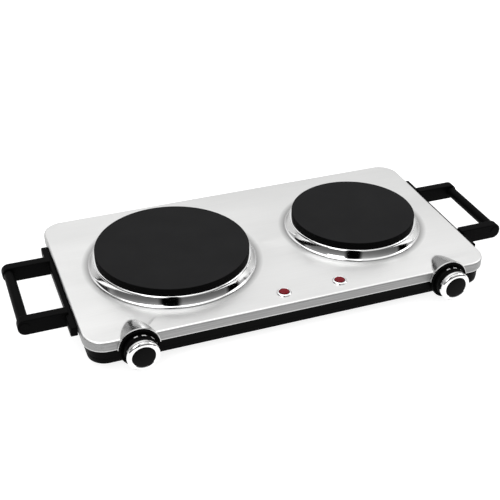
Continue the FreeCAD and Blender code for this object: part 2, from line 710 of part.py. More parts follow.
def make_bracket(x):
    """Angle that carries the switch on the bottom sheet."""
    t = BRACKET_SHEET
    half = THERMOSTAT_WIDTH / 2
    face = box(x - half, x + half, BRACKET_Y, BRACKET_Y + t, BOTTOM_TOP, KNOB_Z + THERMOSTAT_HEIGHT / 2)
    sole = box(x - half, x + half, BRACKET_Y, BRACKET_Y + BRACKET_SOLE, BOTTOM_TOP, BOTTOM_TOP + t)
    bracket = face.fuse(sole).removeSplitter()
    hole = BUSH_RADIUS + BUSH_PLAY
    return bracket.cut(along_y(x, KNOB_Z, hole, BRACKET_Y - CUT_PAST, BRACKET_Y + t + CUT_PAST))


def make_shaft(x):
    """Control spindle, with a flat where the knob drives it."""
    tip = FRONT - KNOB_REACH + SHAFT_TIP_DEPTH
    shaft = along_y(x, KNOB_Z, SHAFT_RADIUS, tip, SWITCH_Y + SHAFT_IN_SWITCH)
    high = KNOB_Z + SHAFT_RADIUS
    wide = SHAFT_RADIUS + CUT_PAST
    return shaft.cut(box(x - wide, x + wide, tip - CUT_PAST, tip + SHAFT_FLAT_LENGTH,
                         high - SHAFT_FLAT, high + CUT_PAST))


def make_knob_body(x):
    """Black knob: wide skirt for the scale, narrower barrel and a seat for the bright ring."""
    back = COLLAR_AHEAD - KNOB_TUCK
    end = KNOB_SKIRT_END
    barrel = knob_turned([
        (0, back), (KNOB_SKIRT, back), (KNOB_SKIRT, end - KNOB_SKIRT_ROUND),
        (KNOB_SKIRT - KNOB_SKIRT_BEND, end - KNOB_SKIRT_BEND_END), (KNOB_BODY, end),
        (KNOB_BODY, KNOB_RING_START), (KNOB_RING_BORE, KNOB_RING_START), (KNOB_RING_BORE, KNOB_SEAT),
        (0, KNOB_SEAT),
    ], x)
    return barrel.cut(make_shaft(x))


def make_knob_ring(x):
    """Bright ring round the knob's face, with a turned groove."""
    start = KNOB_RING_START
    groove = (start + KNOB_REACH) / 2
    edge = KNOB_RING_EDGE
    lip = KNOB_REACH - KNOB_LIP_DROP
    return knob_turned([
        (KNOB_RING_BORE, start), (KNOB_RING - edge, start), (KNOB_RING, start + edge),
        (KNOB_RING, groove - KNOB_GROOVE), (KNOB_RING - KNOB_GROOVE, groove),
        (KNOB_RING, groove + KNOB_GROOVE),
        (KNOB_RING - edge / 3, KNOB_SEAT - 2 * edge / 3),
        (KNOB_RING - KNOB_RING_SLOPE, KNOB_SEAT + KNOB_RING_SLOPE_RISE),
        (KNOB_FACE + KNOB_LIP, lip), (KNOB_FACE, lip - KNOB_LIP / 2), (KNOB_FACE, KNOB_SEAT),
        (KNOB_RING_BORE, KNOB_SEAT),
    ], x)


def make_knob_cap(x):
    """Black face of the knob, slightly crowned."""
    edge = KNOB_REACH - KNOB_FACE_EDGE
    return knob_turned([
        (0, KNOB_SEAT), (KNOB_FACE, KNOB_SEAT), (KNOB_FACE, edge - KNOB_FACE_ROUND),
        (KNOB_FACE - KNOB_FACE_EDGE, edge), (KNOB_FACE - KNOB_CROWN_BAND, KNOB_REACH - KNOB_CROWN),
        (KNOB_FACE - 2 * KNOB_CROWN_BAND, KNOB_REACH), (0, KNOB_REACH),
    ], x)


def make_lens(x):
    """Domed lamp lens with a stem through the panel."""
    low = PANEL_TOP - LENS_STEM
    edge = PANEL_TOP + LENS_EDGE
    dome = [(LAMP_LENS - inward, edge + rise) for inward, rise in LENS_DOME]
    profile = [(0, low), (LAMP_LENS, low), (LAMP_LENS, edge)] + dome + [(0, PANEL_TOP + LENS_RISE)]
    return turned(profile, x, LAMP_Y)


def make_bezel(x):
    """Bright turned collar round a lens."""
    z = PANEL_TOP
    steps = [(LAMP_BEZEL - inward, z + rise) for inward, rise in BEZEL_STEPS]
    return turned([(LAMP_LENS, z), (LAMP_BEZEL, z)] + steps + [(LAMP_LENS, z + BEZEL_INNER)], x, LAMP_Y)


def make_lamp_holder(x):
    """Lamp socket under the panel that holds the lens stem, with two terminal pins."""
    top = PANEL_UNDER
    low = top - LAMP_HOLDER_HEIGHT
    stem = PANEL_TOP - LENS_STEM
    socket = turned([
        (0, low), (LAMP_HOLDER - LAMP_HOLDER_EDGE, low), (LAMP_HOLDER, low + LAMP_HOLDER_EDGE),
        (LAMP_HOLDER, top), (LAMP_LENS, top), (LAMP_LENS, stem), (0, stem),
    ], x, LAMP_Y)
    end = low - LAMP_PIN_LENGTH
    offsets = (-LAMP_PIN_OFFSET, LAMP_PIN_OFFSET)
    return socket.fuse([upright(x + dx, LAMP_Y, LAMP_PIN, end, low + CUT_PAST) for dx in offsets])


def make_arm(y0):
    """One arm of a handle: a flat bar with a round end on the grip's axis."""
    half = HANDLE_ARM_HEIGHT / 2
    root = END_X + HANDLE_FLANGE / 2
    low = GRIP_Z - half
    top = GRIP_Z + half
    wire = Part.Wire([
        Part.makeLine(V(root, y0, low), V(GRIP_X, y0, low)),
        Part.Arc(V(GRIP_X, y0, low), V(GRIP_X + half, y0, GRIP_Z), V(GRIP_X, y0, top)).toShape(),
        Part.makeLine(V(GRIP_X, y0, top), V(root, y0, top)),
        Part.makeLine(V(root, y0, top), V(root, y0, low)),
    ])
    arm = Part.Face(wire).extrude(V(0, HANDLE_ARM, 0))
    rounded = [e for e in arm.Edges if e.BoundBox.YLength < 0.01 and e.BoundBox.XMax > GRIP_X - CUT_PAST]
    return arm.makeFillet(HANDLE_ARM_ROUND, rounded)


def make_handle(sign):
    """Handle moulding: a long flange on the end of the panel and two arms with round ends."""
    top = PANEL_TOP - HANDLE_FLANGE_DROP
    low = top - HANDLE_FLANGE_HEIGHT
    out = END_X + HANDLE_FLANGE
    flange = box(END_X, out, -HANDLE_FLANGE_HALF, HANDLE_FLANGE_HALF, low, top)
    outer_edges = [e for e in flange.Edges if e.BoundBox.XMin > out - CUT_PAST]
    flange = flange.makeFillet(HANDLE_FLANGE_ROUND, outer_edges)
    handle = flange.fuse([make_arm(-HANDLE_HALF), make_arm(HANDLE_HALF - HANDLE_ARM)])
    past = HANDLE_HALF + CUT_PAST
    handle = handle.cut(along_y(GRIP_X, GRIP_Z, GRIP_SPIGOT, -GRIP_END, GRIP_END))
    handle = handle.cut(along_y(GRIP_X, GRIP_Z, CAP_RADIUS, -past, -GRIP_END))
    handle = handle.cut(along_y(GRIP_X, GRIP_Z, CAP_RADIUS, GRIP_END, past))
    for y in (-HANDLE_SCREW_Y, HANDLE_SCREW_Y):
        handle = handle.cut(along_x(y, HANDLE_SCREW_Z, SCREW_RADIUS, END_X - CUT_PAST, HANDLE_SCREW_TIP))
    return mirrored(handle.removeSplitter(), sign)


def make_grip():
    """Round bar of the handle, spigoted into both arms."""
    inner = HANDLE_HALF - HANDLE_ARM
    bar = along_y(GRIP_X, GRIP_Z, GRIP_RADIUS, -inner, inner)
    return bar.fuse(along_y(GRIP_X, GRIP_Z, GRIP_SPIGOT, -GRIP_END, GRIP_END)).removeSplitter()


def make_grip_caps():
    """Round plugs over the spigot ends."""
    end = HANDLE_HALF + CAP_PROUD
    front = along_y(GRIP_X, GRIP_Z, CAP_RADIUS, -end, -GRIP_END)
    return [front, along_y(GRIP_X, GRIP_Z, CAP_RADIUS, GRIP_END, end)]


def make_handle_screws():
    """Screws from inside the base wall into the handle flange."""
    screws = []
    wall = BASE_END_X - BASE_WALL
    for y in (-HANDLE_SCREW_Y, HANDLE_SCREW_Y):
        shank = along_x(y, HANDLE_SCREW_Z, SCREW_RADIUS, wall, HANDLE_SCREW_TIP)
        head = along_x(y, HANDLE_SCREW_Z, SCREW_HEAD, wall - SCREW_HEAD_HEIGHT, wall)
        screws.append(shank.fuse(head))
    return screws


def mirrored(shape, sign):
    """The right-hand piece, or its mirror image for the left."""
    if sign > 0:
        return shape
    return shape.mirror(V(0, 0, 0), V(1, 0, 0))


def make_inlet():
    """Cord bushing: grooved to slide into the notch of the rear wall, bored for the cord."""
    front = BASE_BACK - BASE_WALL
    out = PANEL_DEPTH / 2 - PANEL_SHEET - INLET_SETBACK
    tail = front - INLET_TAIL
    bush = along_y(INLET_X, INLET_Z, INLET_NECK - INLET_PLAY, tail, out)
    bush = bush.fuse([along_y(INLET_X, INLET_Z, INLET_FLANGE, BASE_BACK, out),
                      along_y(INLET_X, INLET_Z, INLET_FLANGE, front - INLET_LIP, front)])
    bush = bush.removeSplitter()
    return bush.cut(along_y(INLET_X, INLET_Z, INLET_BORE, tail - CUT_PAST, out + CUT_PAST))


def block_ways():
    """Middles of the connector's four ways, left to right."""
    return [INLET_X + step * WAY_PITCH for step in (-1.5, -0.5, 0.5, 1.5)]


def block_wells():
    """Middles of the screw wells, way by way."""
    return [(x, y) for x in block_ways() for y in (BLOCK_Y + WELL_IN_Y, BLOCK_Y + BLOCK_DEPTH - WELL_IN_Y)]


def make_terminal_block():
    """Ceramic connector: four ways bored through, each with two screw wells from above."""
    half = BLOCK_LENGTH / 2
    back = BLOCK_Y + BLOCK_DEPTH
    top = BOTTOM_TOP + BLOCK_HEIGHT
    body = box(INLET_X - half, INLET_X + half, BLOCK_Y, back, BOTTOM_TOP, top)
    for x in block_ways():
        body = body.cut(along_y(x, WAY_Z, WAY_BORE, BLOCK_Y - CUT_PAST, back + CUT_PAST))
    for x, y in block_wells():
        body = body.cut(upright(x, y, WAY_BORE, WAY_Z, top + CUT_PAST))
    for x in (INLET_X - WAY_PITCH, INLET_X + WAY_PITCH):
        body = body.cut(box(x - BLOCK_SLOT / 2, x + BLOCK_SLOT / 2, BLOCK_Y - CUT_PAST, back + CUT_PAST,
                            top - BLOCK_SLOT_DEPTH, top + CUT_PAST))
    return body


def make_terminal_screws():
    """Clamp screws of the connector."""
    low = WAY_Z + CLAMP_SCREW_RISE
    top = low + CLAMP_SCREW_LENGTH
    screws = []
    for x, y in block_wells():
        slot = box(x - WAY_PITCH / 2, x + WAY_PITCH / 2, y - CLAMP_SLOT_WIDTH / 2, y + CLAMP_SLOT_WIDTH / 2,
                   top - CLAMP_SLOT_DEPTH, top + CUT_PAST)
        screws.append(upright(x, y, WAY_BORE, low, top).cut(slot))
    return screws


def make_leads(sign, x, radius):
    """Sleeved wires of one plate: connector to switch, switch to heater, heater to connector."""
    low = BOTTOM_TOP + LEAD_RADIUS
    high = low + LEAD_LAYER
    entry = BLOCK_Y + LEAD_ENTRY
    knob_x = sign * KNOB_X
    blade_y = SWITCH_Y + THERMOSTAT_LENGTH + BLADE_LENGTH
    blade_z = KNOB_Z - BLADE_DROP
    loop_y = blade_y + LEAD_LOOP
    far_loop_y = loop_y + LANE_FEED
    near_x = knob_x - sign * BLADE_OFFSET
    far_x = knob_x + sign * BLADE_OFFSET
    legs = element_legs(x, radius)[::-sign]
    ways = block_ways()[::sign]
    inner_way = ways[2]
    outer_way = ways[3]
    feed_x = INLET_X + sign * LANE_FEED
    switch_x = knob_x - sign * LANE_SWITCH
    return_x = INLET_X + sign * LANE_RETURN
    front_y = BRACKET_Y + LEAD_STRAIGHT
    feed = lead([
        V(inner_way, entry, WAY_Z), V(inner_way, BLOCK_Y - LEAD_STRAIGHT, WAY_Z),
        V(inner_way, BLOCK_Y - 2 * LEAD_STRAIGHT, low), V(feed_x, front_y, low), V(switch_x, front_y, low),
        V(switch_x, loop_y, low), V(near_x, loop_y, blade_z), V(near_x, blade_y, blade_z),
    ])
    to_heater = lead([
        V(far_x, blade_y, blade_z), V(far_x, far_loop_y, blade_z), V(legs[0][0], far_loop_y, high),
        V(legs[0][0], legs[0][1], high), V(legs[0][0], legs[0][1], PIN_END),
    ])
    returning = lead([
        V(legs[1][0], legs[1][1], PIN_END), V(legs[1][0], legs[1][1], high),
        V(return_x, legs[1][1] + LEAD_RETURN_STRAIGHT, high), V(return_x, BLOCK_Y - LEAD_RETURN_FALL, high),
        V(outer_way, BLOCK_Y - LEAD_RETURN_STRAIGHT, WAY_Z), V(outer_way, entry, WAY_Z),
    ])
    return [feed, to_heater, returning]


os.makedirs("parts", exist_ok=True)

keep("top_panel", make_top_panel())
keep("base_frame", make_base_frame())
keep("bottom_sheet", make_bottom_sheet())
keep("foot_front_left", make_foot(-FOOT_X, -FOOT_Y))
keep("foot_front_right", make_foot(FOOT_X, -FOOT_Y))
keep("foot_rear_left", make_foot(-FOOT_X, FOOT_Y))
keep("foot_rear_right", make_foot(FOOT_X, FOOT_Y))

nuts = []
spacers = []
for side, x, radius in plate_data():
    keep(side + "_plate", make_plate(x, radius))
    keep(side + "_trim_ring", make_ring(x, radius))
    keep(side + "_heating_element", make_element(x, radius))
    keep(side + "_heat_shield", make_shield(x, radius))
    keep(side + "_insulation_disc", make_insulation(x, radius))
    keep(side + "_clamp_strap", make_strap(x, radius))
    keep(side + "_plate_stud", upright(x, 0, STUD_RADIUS, STRAP_LOW - NUT_HEIGHT - STUD_PROUD, STUD_TOP))
    nut = hexagon(NUT_FLATS, NUT_HEIGHT, V(x, 0, STRAP_LOW - NUT_HEIGHT), V(0, 0, 1))
    nuts.append(nut.cut(upright(x, 0, STUD_RADIUS, 0, PANEL_TOP)))
    spacer = upright(x, 0, SPACER_RADIUS, SHIELD_LOW - SPACER_HEIGHT, SHIELD_LOW)
    spacers.append(spacer.cut(upright(x, 0, STUD_RADIUS + FASTENER_PLAY, 0, PANEL_TOP)))
keep("plate_stud_nuts", *nuts)
keep("plate_stud_spacers", *spacers)

bush_nuts = []
handle_screws = []
for side, sign in SIDES:
    x = sign * KNOB_X
    keep(side + "_thermostat", make_thermostat(x))
    keep(side + "_thermostat_bracket", make_bracket(x))
    keep(side + "_knob_shaft", make_shaft(x))
    keep(side + "_knob_body", make_knob_body(x))
    keep(side + "_knob_ring", make_knob_ring(x))
    keep(side + "_knob_cap", make_knob_cap(x))
    bush_nut = hexagon(BUSH_NUT_FLATS, BUSH_NUT_HEIGHT, V(x, BRACKET_Y, KNOB_Z), V(0, -1, 0))
    bush_nuts.append(bush_nut.cut(along_y(x, KNOB_Z, BUSH_RADIUS, FRONT, 0)))
    keep(side + "_handle", make_handle(sign))
    keep(side + "_handle_grip", mirrored(make_grip(), sign))
    keep(side + "_grip_caps", *[mirrored(cap, sign) for cap in make_grip_caps()])
    for screw in make_handle_screws():
        handle_screws.append(mirrored(screw, sign))
keep("thermostat_nuts", *bush_nuts)
keep("handle_screws", *handle_screws)

for side, x in lamp_places():
    keep(side + "_lamp_lens", make_lens(x))
    keep(side + "_lamp_bezel", make_bezel(x))
    keep(side + "_lamp_holder", make_lamp_holder(x))

studs = []
panel_nuts = []
for x, y in post_places():
    nut_low = BOTTOM_UNDER - PANEL_NUT_HEIGHT
    studs.append(upright(x, y, PANEL_STUD, nut_low - STUD_PROUD, PANEL_UNDER))
    nut = hexagon(PANEL_NUT_FLATS, PANEL_NUT_HEIGHT, V(x, y, nut_low), V(0, 0, 1))
    panel_nuts.append(nut.cut(upright(x, y, PANEL_STUD, 0, PANEL_TOP)))
keep("panel_studs", *studs)
keep("panel_nuts", *panel_nuts)

keep("cord_inlet", make_inlet())
keep("terminal_block", make_terminal_block())
keep("terminal_screws", *make_terminal_screws())
keep("left_wiring", *make_leads(-1, LARGE_X, LARGE_PLATE / 2))
keep("right_wiring", *make_leads(1, SMALL_X, SMALL_PLATE / 2))
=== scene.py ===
import math
import bpy
from mathutils import Matrix, Vector


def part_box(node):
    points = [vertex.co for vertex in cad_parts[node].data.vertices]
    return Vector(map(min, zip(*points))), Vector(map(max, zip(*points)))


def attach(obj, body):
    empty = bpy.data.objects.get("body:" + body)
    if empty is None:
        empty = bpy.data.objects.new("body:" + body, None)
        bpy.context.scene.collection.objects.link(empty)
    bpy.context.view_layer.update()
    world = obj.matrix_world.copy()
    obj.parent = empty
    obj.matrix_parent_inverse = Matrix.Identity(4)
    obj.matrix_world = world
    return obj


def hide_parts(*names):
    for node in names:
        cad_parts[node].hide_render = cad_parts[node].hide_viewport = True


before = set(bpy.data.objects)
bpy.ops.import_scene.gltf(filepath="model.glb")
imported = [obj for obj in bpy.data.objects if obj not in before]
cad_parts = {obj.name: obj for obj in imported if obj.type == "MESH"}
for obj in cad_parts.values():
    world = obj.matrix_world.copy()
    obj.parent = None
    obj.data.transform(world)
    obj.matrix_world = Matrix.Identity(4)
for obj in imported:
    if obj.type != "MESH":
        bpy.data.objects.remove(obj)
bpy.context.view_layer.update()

bl_info = {
    "name": "Double hot plate",
    "version": (1, 0, 0),
    "blender": (4, 5, 0),
    "location": "View3D > Sidebar > Hot plate",
    "description": "Dresses the double hot plate: panel, cast plates, trim rings, knobs, lamps and handles",
    "category": "Object",
}

SIDES = ("left", "right")
ROOT = "appliance"

# Angles in degrees up to which a surface is shaded smooth
SMOOTH = 38
SMOOTH_SHEET = 11
SMOOTH_MOULDING = 30
SMOOTH_RING = 32
SMOOTH_KNOB_RING = 30
SMOOTH_LAMP = 50

# How strongly large faces lead the shading, in percent
FACE_WEIGHT = 80

# Rounded edges: their steps, and the angle in degrees from which an edge is sharp
SOFT_STEPS = 3
SHARP_ANGLE = 30

# Distances in metres below which vertices are one: in an outline, a new piece and a CAD mesh
MERGE_OUTLINE = 1e-7
MERGE_PIECE = 1e-6
MERGE_CAD = 2e-6

# Side of the small plane that a drawn piece starts from
SEED = 0.002


def middle(node):
    """Centre of a node's box."""
    low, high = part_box(node)
    return (low + high) / 2


def colour(name, description, default):
    return bpy.props.FloatVectorProperty(
        name=name, description=description, subtype="COLOR", size=4, min=0, max=1, default=default)


def length(name, description, default):
    return bpy.props.FloatProperty(
        name=name, description=description, subtype="DISTANCE", unit="LENGTH", min=0, default=default)


class HotPlateSizes(bpy.types.PropertyGroup):
    """Sizes that a user would change."""

    steps: bpy.props.IntProperty(
        name="Round steps", description="Divisions of a turned piece", min=24, max=256, default=144)
    plate_edge: length("Plate edge", "Round on the top edge of a cast plate", 0.0011)
    mark_width: length("Scale mark width", "Width of the knob's scale marks along its axis", 0.0016)
    brush_pitch: length("Brush pitch", "Spacing of the brush lines on the panel", 0.0009)


class HotPlateColours(bpy.types.PropertyGroup):
    """Colours that a user would change."""

    steel: colour("Panel steel", "Flat of the brushed panel", (0.80, 0.80, 0.795, 1))
    # Skirt and dome are the panel's own steel, painted darker as shade
    skirt: colour("Skirt steel", "Folded skirt", (0.28, 0.28, 0.28, 1))
    dome: colour("Dome steel", "Pressed domes over the knobs", (0.43, 0.43, 0.43, 1))
    bright: colour("Bright trim", "Polished rings and bezels", (0.90, 0.90, 0.90, 1))
    plate: colour("Plate coat", "Top of the cast plates", (0.0145, 0.0145, 0.0150, 1))
    black: colour("Black moulding", "Base and handles", (0.0018, 0.0018, 0.0019, 1))
    knob: colour("Knob black", "Knob barrel and face", (0.0022, 0.0022, 0.0023, 1))
    marks: colour("Scale marks", "Print on the knob", (0.75, 0.75, 0.75, 1))
    lens: colour("Lamp lens", "Red lens", (0.14, 0.001, 0.006, 1))
    floor: colour("Floor", "Studio floor", (0.40, 0.40, 0.40, 1))


class Wire:
    """A value in a shader; arithmetic on it adds Math nodes."""

    def __init__(self, finish, socket):
        self.finish = finish
        self.socket = socket

    def math(self, operation, first, second=0.0, clamp=False):
        settings = {"operation": operation, "use_clamp": clamp}
        return self.finish.add("ShaderNodeMath", settings, {0: first, 1: second})

    def __add__(self, other):
        return self.math("ADD", self, other)

    __radd__ = __add__

    def __sub__(self, other):
        return self.math("SUBTRACT", self, other)

    def __rsub__(self, other):
        return self.math("SUBTRACT", other, self)

    def __mul__(self, other):
        return self.math("MULTIPLY", self, other)

    __rmul__ = __mul__

    def __truediv__(self, other):
        return self.math("DIVIDE", self, other)

    def __rtruediv__(self, other):
        return self.math("DIVIDE", other, self)

    def clamped(self):
        return self.math("ADD", self, 0.0, True)

    def over(self, low, high):
        """0 below low, 1 above high, straight between."""
        return ((self - low) / (high - low)).clamped()


class Finish:
    """One procedural material, built round a Principled shader."""

    def __init__(self, name, **constants):
        self.material = bpy.data.materials.new(name)
        self.material.use_nodes = True
        self.tree = self.material.node_tree
        self.shader = self.tree.nodes["Principled BSDF"]
        for socket, value in constants.items():
            self.shader.inputs[socket.replace("_", " ")].default_value = value

    def add(self, kind, settings=None, sockets=None, output=0):
        """Adds a node, its settings first, then the values or links of its sockets."""
        node = self.tree.nodes.new(kind)
        for key, value in (settings or {}).items():
            if key == "stops":
                ramp = node.color_ramp
                ramp.elements[0].position, ramp.elements[0].color = value[0]
                ramp.elements[1].position, ramp.elements[1].color = value[-1]
                for place, shade in value[1:-1]:
                    ramp.elements.new(place).color = shade
            else:
                setattr(node, key, value)
        for key, value in (sockets or {}).items():
            if isinstance(value, Wire):
                self.tree.links.new(value.socket, node.inputs[key])
            else:
                node.inputs[key].default_value = value
        return Wire(self, node.outputs[output])

    def place(self):
        return self.add("ShaderNodeTexCoord", output="Object")

    def axis(self, vector, name):
        return self.add("ShaderNodeSeparateXYZ", sockets={0: vector}, output=name)

    def vector(self, operation, first, second=(0, 0, 0), output=0):
        return self.add("ShaderNodeVectorMath", {"operation": operation}, {0: first, 1: second}, output)

    def distance(self, point):
        """Distance from an upright axis through a point."""
        flat = self.vector("MULTIPLY", self.place(), (1, 1, 0))
        return self.vector("DISTANCE", flat, (point.x, point.y, 0), "Value")

    def normal_z(self):
        return self.axis(self.add("ShaderNodeTexCoord", output="Normal"), "Z")

    def noise(self, scale, stretch=(1, 1, 1), detail=2.0, rough=0.5):
        moved = self.add("ShaderNodeMapping", sockets={"Vector": self.place(), "Scale": stretch})
        sockets = {"Vector": moved, "Scale": scale, "Detail": detail, "Roughness": rough}
        return self.add("ShaderNodeTexNoise", sockets=sockets, output="Fac")

    def blend(self, factor, first, second):
        """Mix of two colours; its sockets go by number, because their names repeat."""
        return self.add("ShaderNodeMix", {"data_type": "RGBA"}, {0: factor, 6: first, 7: second}, 2)

    def tones(self, value, shade, *stops):
        """Ramp of one colour, from (place, factor) stops."""
        ramp = [(place, scaled(shade, factor)) for place, factor in stops]
        return self.add("ShaderNodeValToRGB", {"stops": ramp}, {0: value})

    def bump(self, height, strength, distance):
        sockets = {"Strength": strength, "Distance": distance, "Height": height}
        return self.add("ShaderNodeBump", sockets=sockets)

    def feed(self, **sockets):
        for name, value in sockets.items():
            self.tree.links.new(value.socket, self.shader.inputs[name.replace("_", " ")])
        return self.material


class Surround(Finish):
    """The studio round the object, wired like a finish."""

    def __init__(self, name, strength):
        self.material = bpy.data.worlds.new(name)
        self.material.use_nodes = True
        self.tree = self.material.node_tree
        self.shader = self.tree.nodes["Background"]
        self.shader.inputs["Strength"].default_value = strength

    def place(self):
        return self.add("ShaderNodeTexCoord", output="Generated")


def grey(value):
    return (value, value, value, 1)


def scaled(shade, factor):
    return (shade[0] * factor, shade[1] * factor, shade[2] * factor, 1)


# Where the panel's looks change, in metres: rise of the domes above the flat, depth of their lips behind the
# foremost point, height of the skirt's hem and reach of the painted contact shadow beside a trim ring
DOME_RISE = (0.0002, 0.0016)
LIP_DEPTH = (0.0010, 0.0016)
HEM_HEIGHT = (0.0006, 0.0011)
CONTACT = (0.0005, 0.0080)

# Strength of the painted contact shadow beside the rings, and of the painted highlight on the hem and lips
PAINTED_CONTACT_SHADOW = 0.7
PAINTED_EDGE_HIGHLIGHT = 0.7

# How much longer than wide a brush line is
BRUSH_LENGTH = 90


def brushed_panel(colours, sizes):
    """Long brush lines along the panel; painted shade on the skirt, the domes and round the trim rings;
    painted highlight on hem and dome lips.
    """
    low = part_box("top_panel")[0]
    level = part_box("left_trim_ring")[0].z
    f = Finish("brushed_panel", Metallic=1.0, Anisotropic=0.35)
    pitch = 1 / sizes.brush_pitch
    lines = f.noise(1.0, (pitch / BRUSH_LENGTH, pitch, pitch), detail=4.0, rough=0.65)
    broad = f.noise(1.0, (5, 18, 18), detail=3.0)
    height = f.axis(f.place(), "Z")
    depth = f.axis(f.place(), "Y")
    # Painted shade: the skirt (facing sideways) and the domes (above the flat) get darker copies of the same
    # steel
    flat = f.normal_z().over(0.25, 0.75)
    dome = height.over(level + DOME_RISE[0], level + DOME_RISE[1])
    lip = 1 - depth.over(low.y + LIP_DEPTH[0], low.y + LIP_DEPTH[1])
    hem = 1 - height.over(low.z + HEM_HEIGHT[0], low.z + HEM_HEIGHT[1])
    # Painted contact shadow: the steel is darkened in a band round the foot of each trim ring
    beside = 0.0
    for side in SIDES:
        ring_low, ring_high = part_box(side + "_trim_ring")
        reach = (ring_high.x - ring_low.x) / 2
        away = f.distance(middle(side + "_trim_ring"))
        beside = beside + (1 - away.over(reach + CONTACT[0], reach + CONTACT[1]))
    grain = 0.35 * lines + 0.65 * broad
    top = f.tones(grain, colours.steel, (0.34, 0.95), (0.66, 1.05))
    skirt = f.tones(lines, colours.skirt, (0.25, 0.72), (0.75, 1.25))
    shade = f.blend(flat, skirt, top)
    shade = f.blend(dome, shade, colours.dome[:])
    shade = f.blend(PAINTED_CONTACT_SHADOW * beside, shade, scaled(colours.skirt, 0.8))
    # Painted highlight: the hem and the dome lips are brought back up to the flat's bright steel
    edges = (PAINTED_EDGE_HIGHLIGHT * lip + PAINTED_EDGE_HIGHLIGHT * hem).clamped()
    shade = f.blend(edges, shade, colours.steel[:])
    rough = 0.32 + 0.06 * lines + 0.08 * broad - 0.22 * dome
    return f.feed(Base_Color=shade, Roughness=rough, Normal=f.bump(lines, strength=0.04, distance=0.00005))


def polished(name, shade):
    """Bright plated metal with faint wipe marks."""
    f = Finish(name, Metallic=1.0)
    wipes = f.noise(220, detail=3.0, rough=0.6)
    haze = f.noise(35)
    tone = f.tones(wipes, shade, (0.3, 0.96), (0.7, 1.0))
    relief = f.bump(wipes, strength=0.02, distance=0.00002)
    return f.feed(Base_Color=tone, Roughness=0.045 + 0.05 * haze, Normal=relief)


def cast_coat(colours):
    """Matt stove coat on cast iron: fine grain, slightly cloudy, with painted shade making the upright side
    near black.
    """
    f = Finish("cast_coat", Specular_IOR_Level=0.05)
    grain = f.noise(1500, rough=0.6)
    cloud = f.noise(22, detail=3.0, rough=0.55)
    top = f.tones(cloud, colours.plate, (0.32, 0.92), (0.68, 1.08))
    # Painted shade: faces turned away from up get a near-black copy of the coat
    flat = f.normal_z().over(0.55, 0.95)
    shade = f.blend(flat, scaled(colours.plate, 0.08), top)
    relief = f.bump(grain, strength=0.25, distance=0.00006)
    return f.feed(Base_Color=shade, Roughness=0.62 + 0.2 * grain, Normal=relief)


def moulded(name, shade, grain_scale=2600, rough=0.40, specular=0.03):
    """Black moulding with a fine spark-eroded grain."""
    f = Finish(name, Specular_IOR_Level=specular)
    grain = f.noise(grain_scale, rough=0.6)
    cloud = f.noise(40)
    tone = f.tones(cloud, shade, (0.3, 0.85), (0.7, 1.2))
    relief = f.bump(grain, strength=0.18, distance=0.00004)
    return f.feed(Base_Color=tone, Roughness=rough + 0.12 * grain + 0.06 * cloud, Normal=relief)


def red_lens(colours):
    """Deep red lens, with painted shade darkening it towards its rim."""
    f = Finish("red_lens", Specular_IOR_Level=0.12, Coat_Roughness=0.05)
    swirl = f.noise(160)
    # Painted shade: faces tilted away from up get a darker red, the top a lighter one
    rim = f.normal_z().over(0.25, 0.9)
    tone = f.blend(rim, scaled(colours.lens, 0.45), scaled(colours.lens, 1.15))
    return f.feed(Base_Color=tone, Roughness=0.16 + 0.06 * swirl, Coat_Weight=0.02 + 0.04 * swirl)


def printed(colours):
    """Pale print with slightly worn edges."""
    f = Finish("scale_print", Specular_IOR_Level=0.3)
    wear = f.noise(1800)
    tone = f.tones(wear, colours.marks, (0.25, 0.75), (0.6, 1.0))
    return f.feed(Base_Color=tone, Roughness=0.45 + 0.1 * wear)


def plain_metal(name, shade, rough):
    """Plated steel and sheet inside the housing."""
    f = Finish(name, Metallic=1.0)
    spangle = f.noise(300, detail=3.0)
    tone = f.tones(spangle, shade, (0.3, 0.85), (0.7, 1.05))
    return f.feed(Base_Color=tone, Roughness=rough + 0.12 * spangle)


def plain_solid(name, shade, rough):
    """Rubber, ceramic, fibre and sleeving."""
    f = Finish(name, Specular_IOR_Level=0.25)
    speck = f.noise(900, detail=3.0)
    tone = f.tones(speck, shade, (0.3, 0.88), (0.7, 1.08))
    relief = f.bump(speck, strength=0.2, distance=0.0001)
    return f.feed(Base_Color=tone, Roughness=rough + 0.1 * speck, Normal=relief)


FINISHES = {}


def finish(name):
    """The named finish, made once."""
    if name not in FINISHES:
        colours = bpy.context.scene.hot_plate_colours
        sizes = bpy.context.scene.hot_plate_sizes
        makers = {
            "panel": lambda: brushed_panel(colours, sizes),
            "bright": lambda: polished("bright_trim", colours.bright),
            "plate": lambda: cast_coat(colours),
            "black": lambda: moulded("black_moulding", colours.black),
            "knob": lambda: moulded("knob_black", colours.knob, grain_scale=3200, rough=0.34, specular=0.05),
            "marks": lambda: printed(colours),
            "lens": lambda: red_lens(colours),
            "zinc": lambda: plain_metal("zinc_plate", (0.55, 0.55, 0.53, 1), rough=0.32),
            "sheath": lambda: plain_metal("heater_sheath", (0.22, 0.2, 0.18, 1), rough=0.45),
            "sheet": lambda: plain_metal("shield_sheet", grey(0.62), rough=0.35),
            "brass": lambda: plain_metal("brass", (0.62, 0.42, 0.16, 1), rough=0.3),
            "paint": lambda: moulded("bottom_paint", grey(0.012), grain_scale=900, rough=0.5, specular=0.2),
            "rubber": lambda: plain_solid("foot_rubber", grey(0.012), rough=0.7),
            "ceramic": lambda: plain_solid("ceramic", (0.7, 0.67, 0.6, 1), rough=0.35),
            "fibre": lambda: plain_solid("fibre", (0.62, 0.58, 0.5, 1), rough=0.85),
        }
        FINISHES[name] = makers[name]()
    return FINISHES[name]


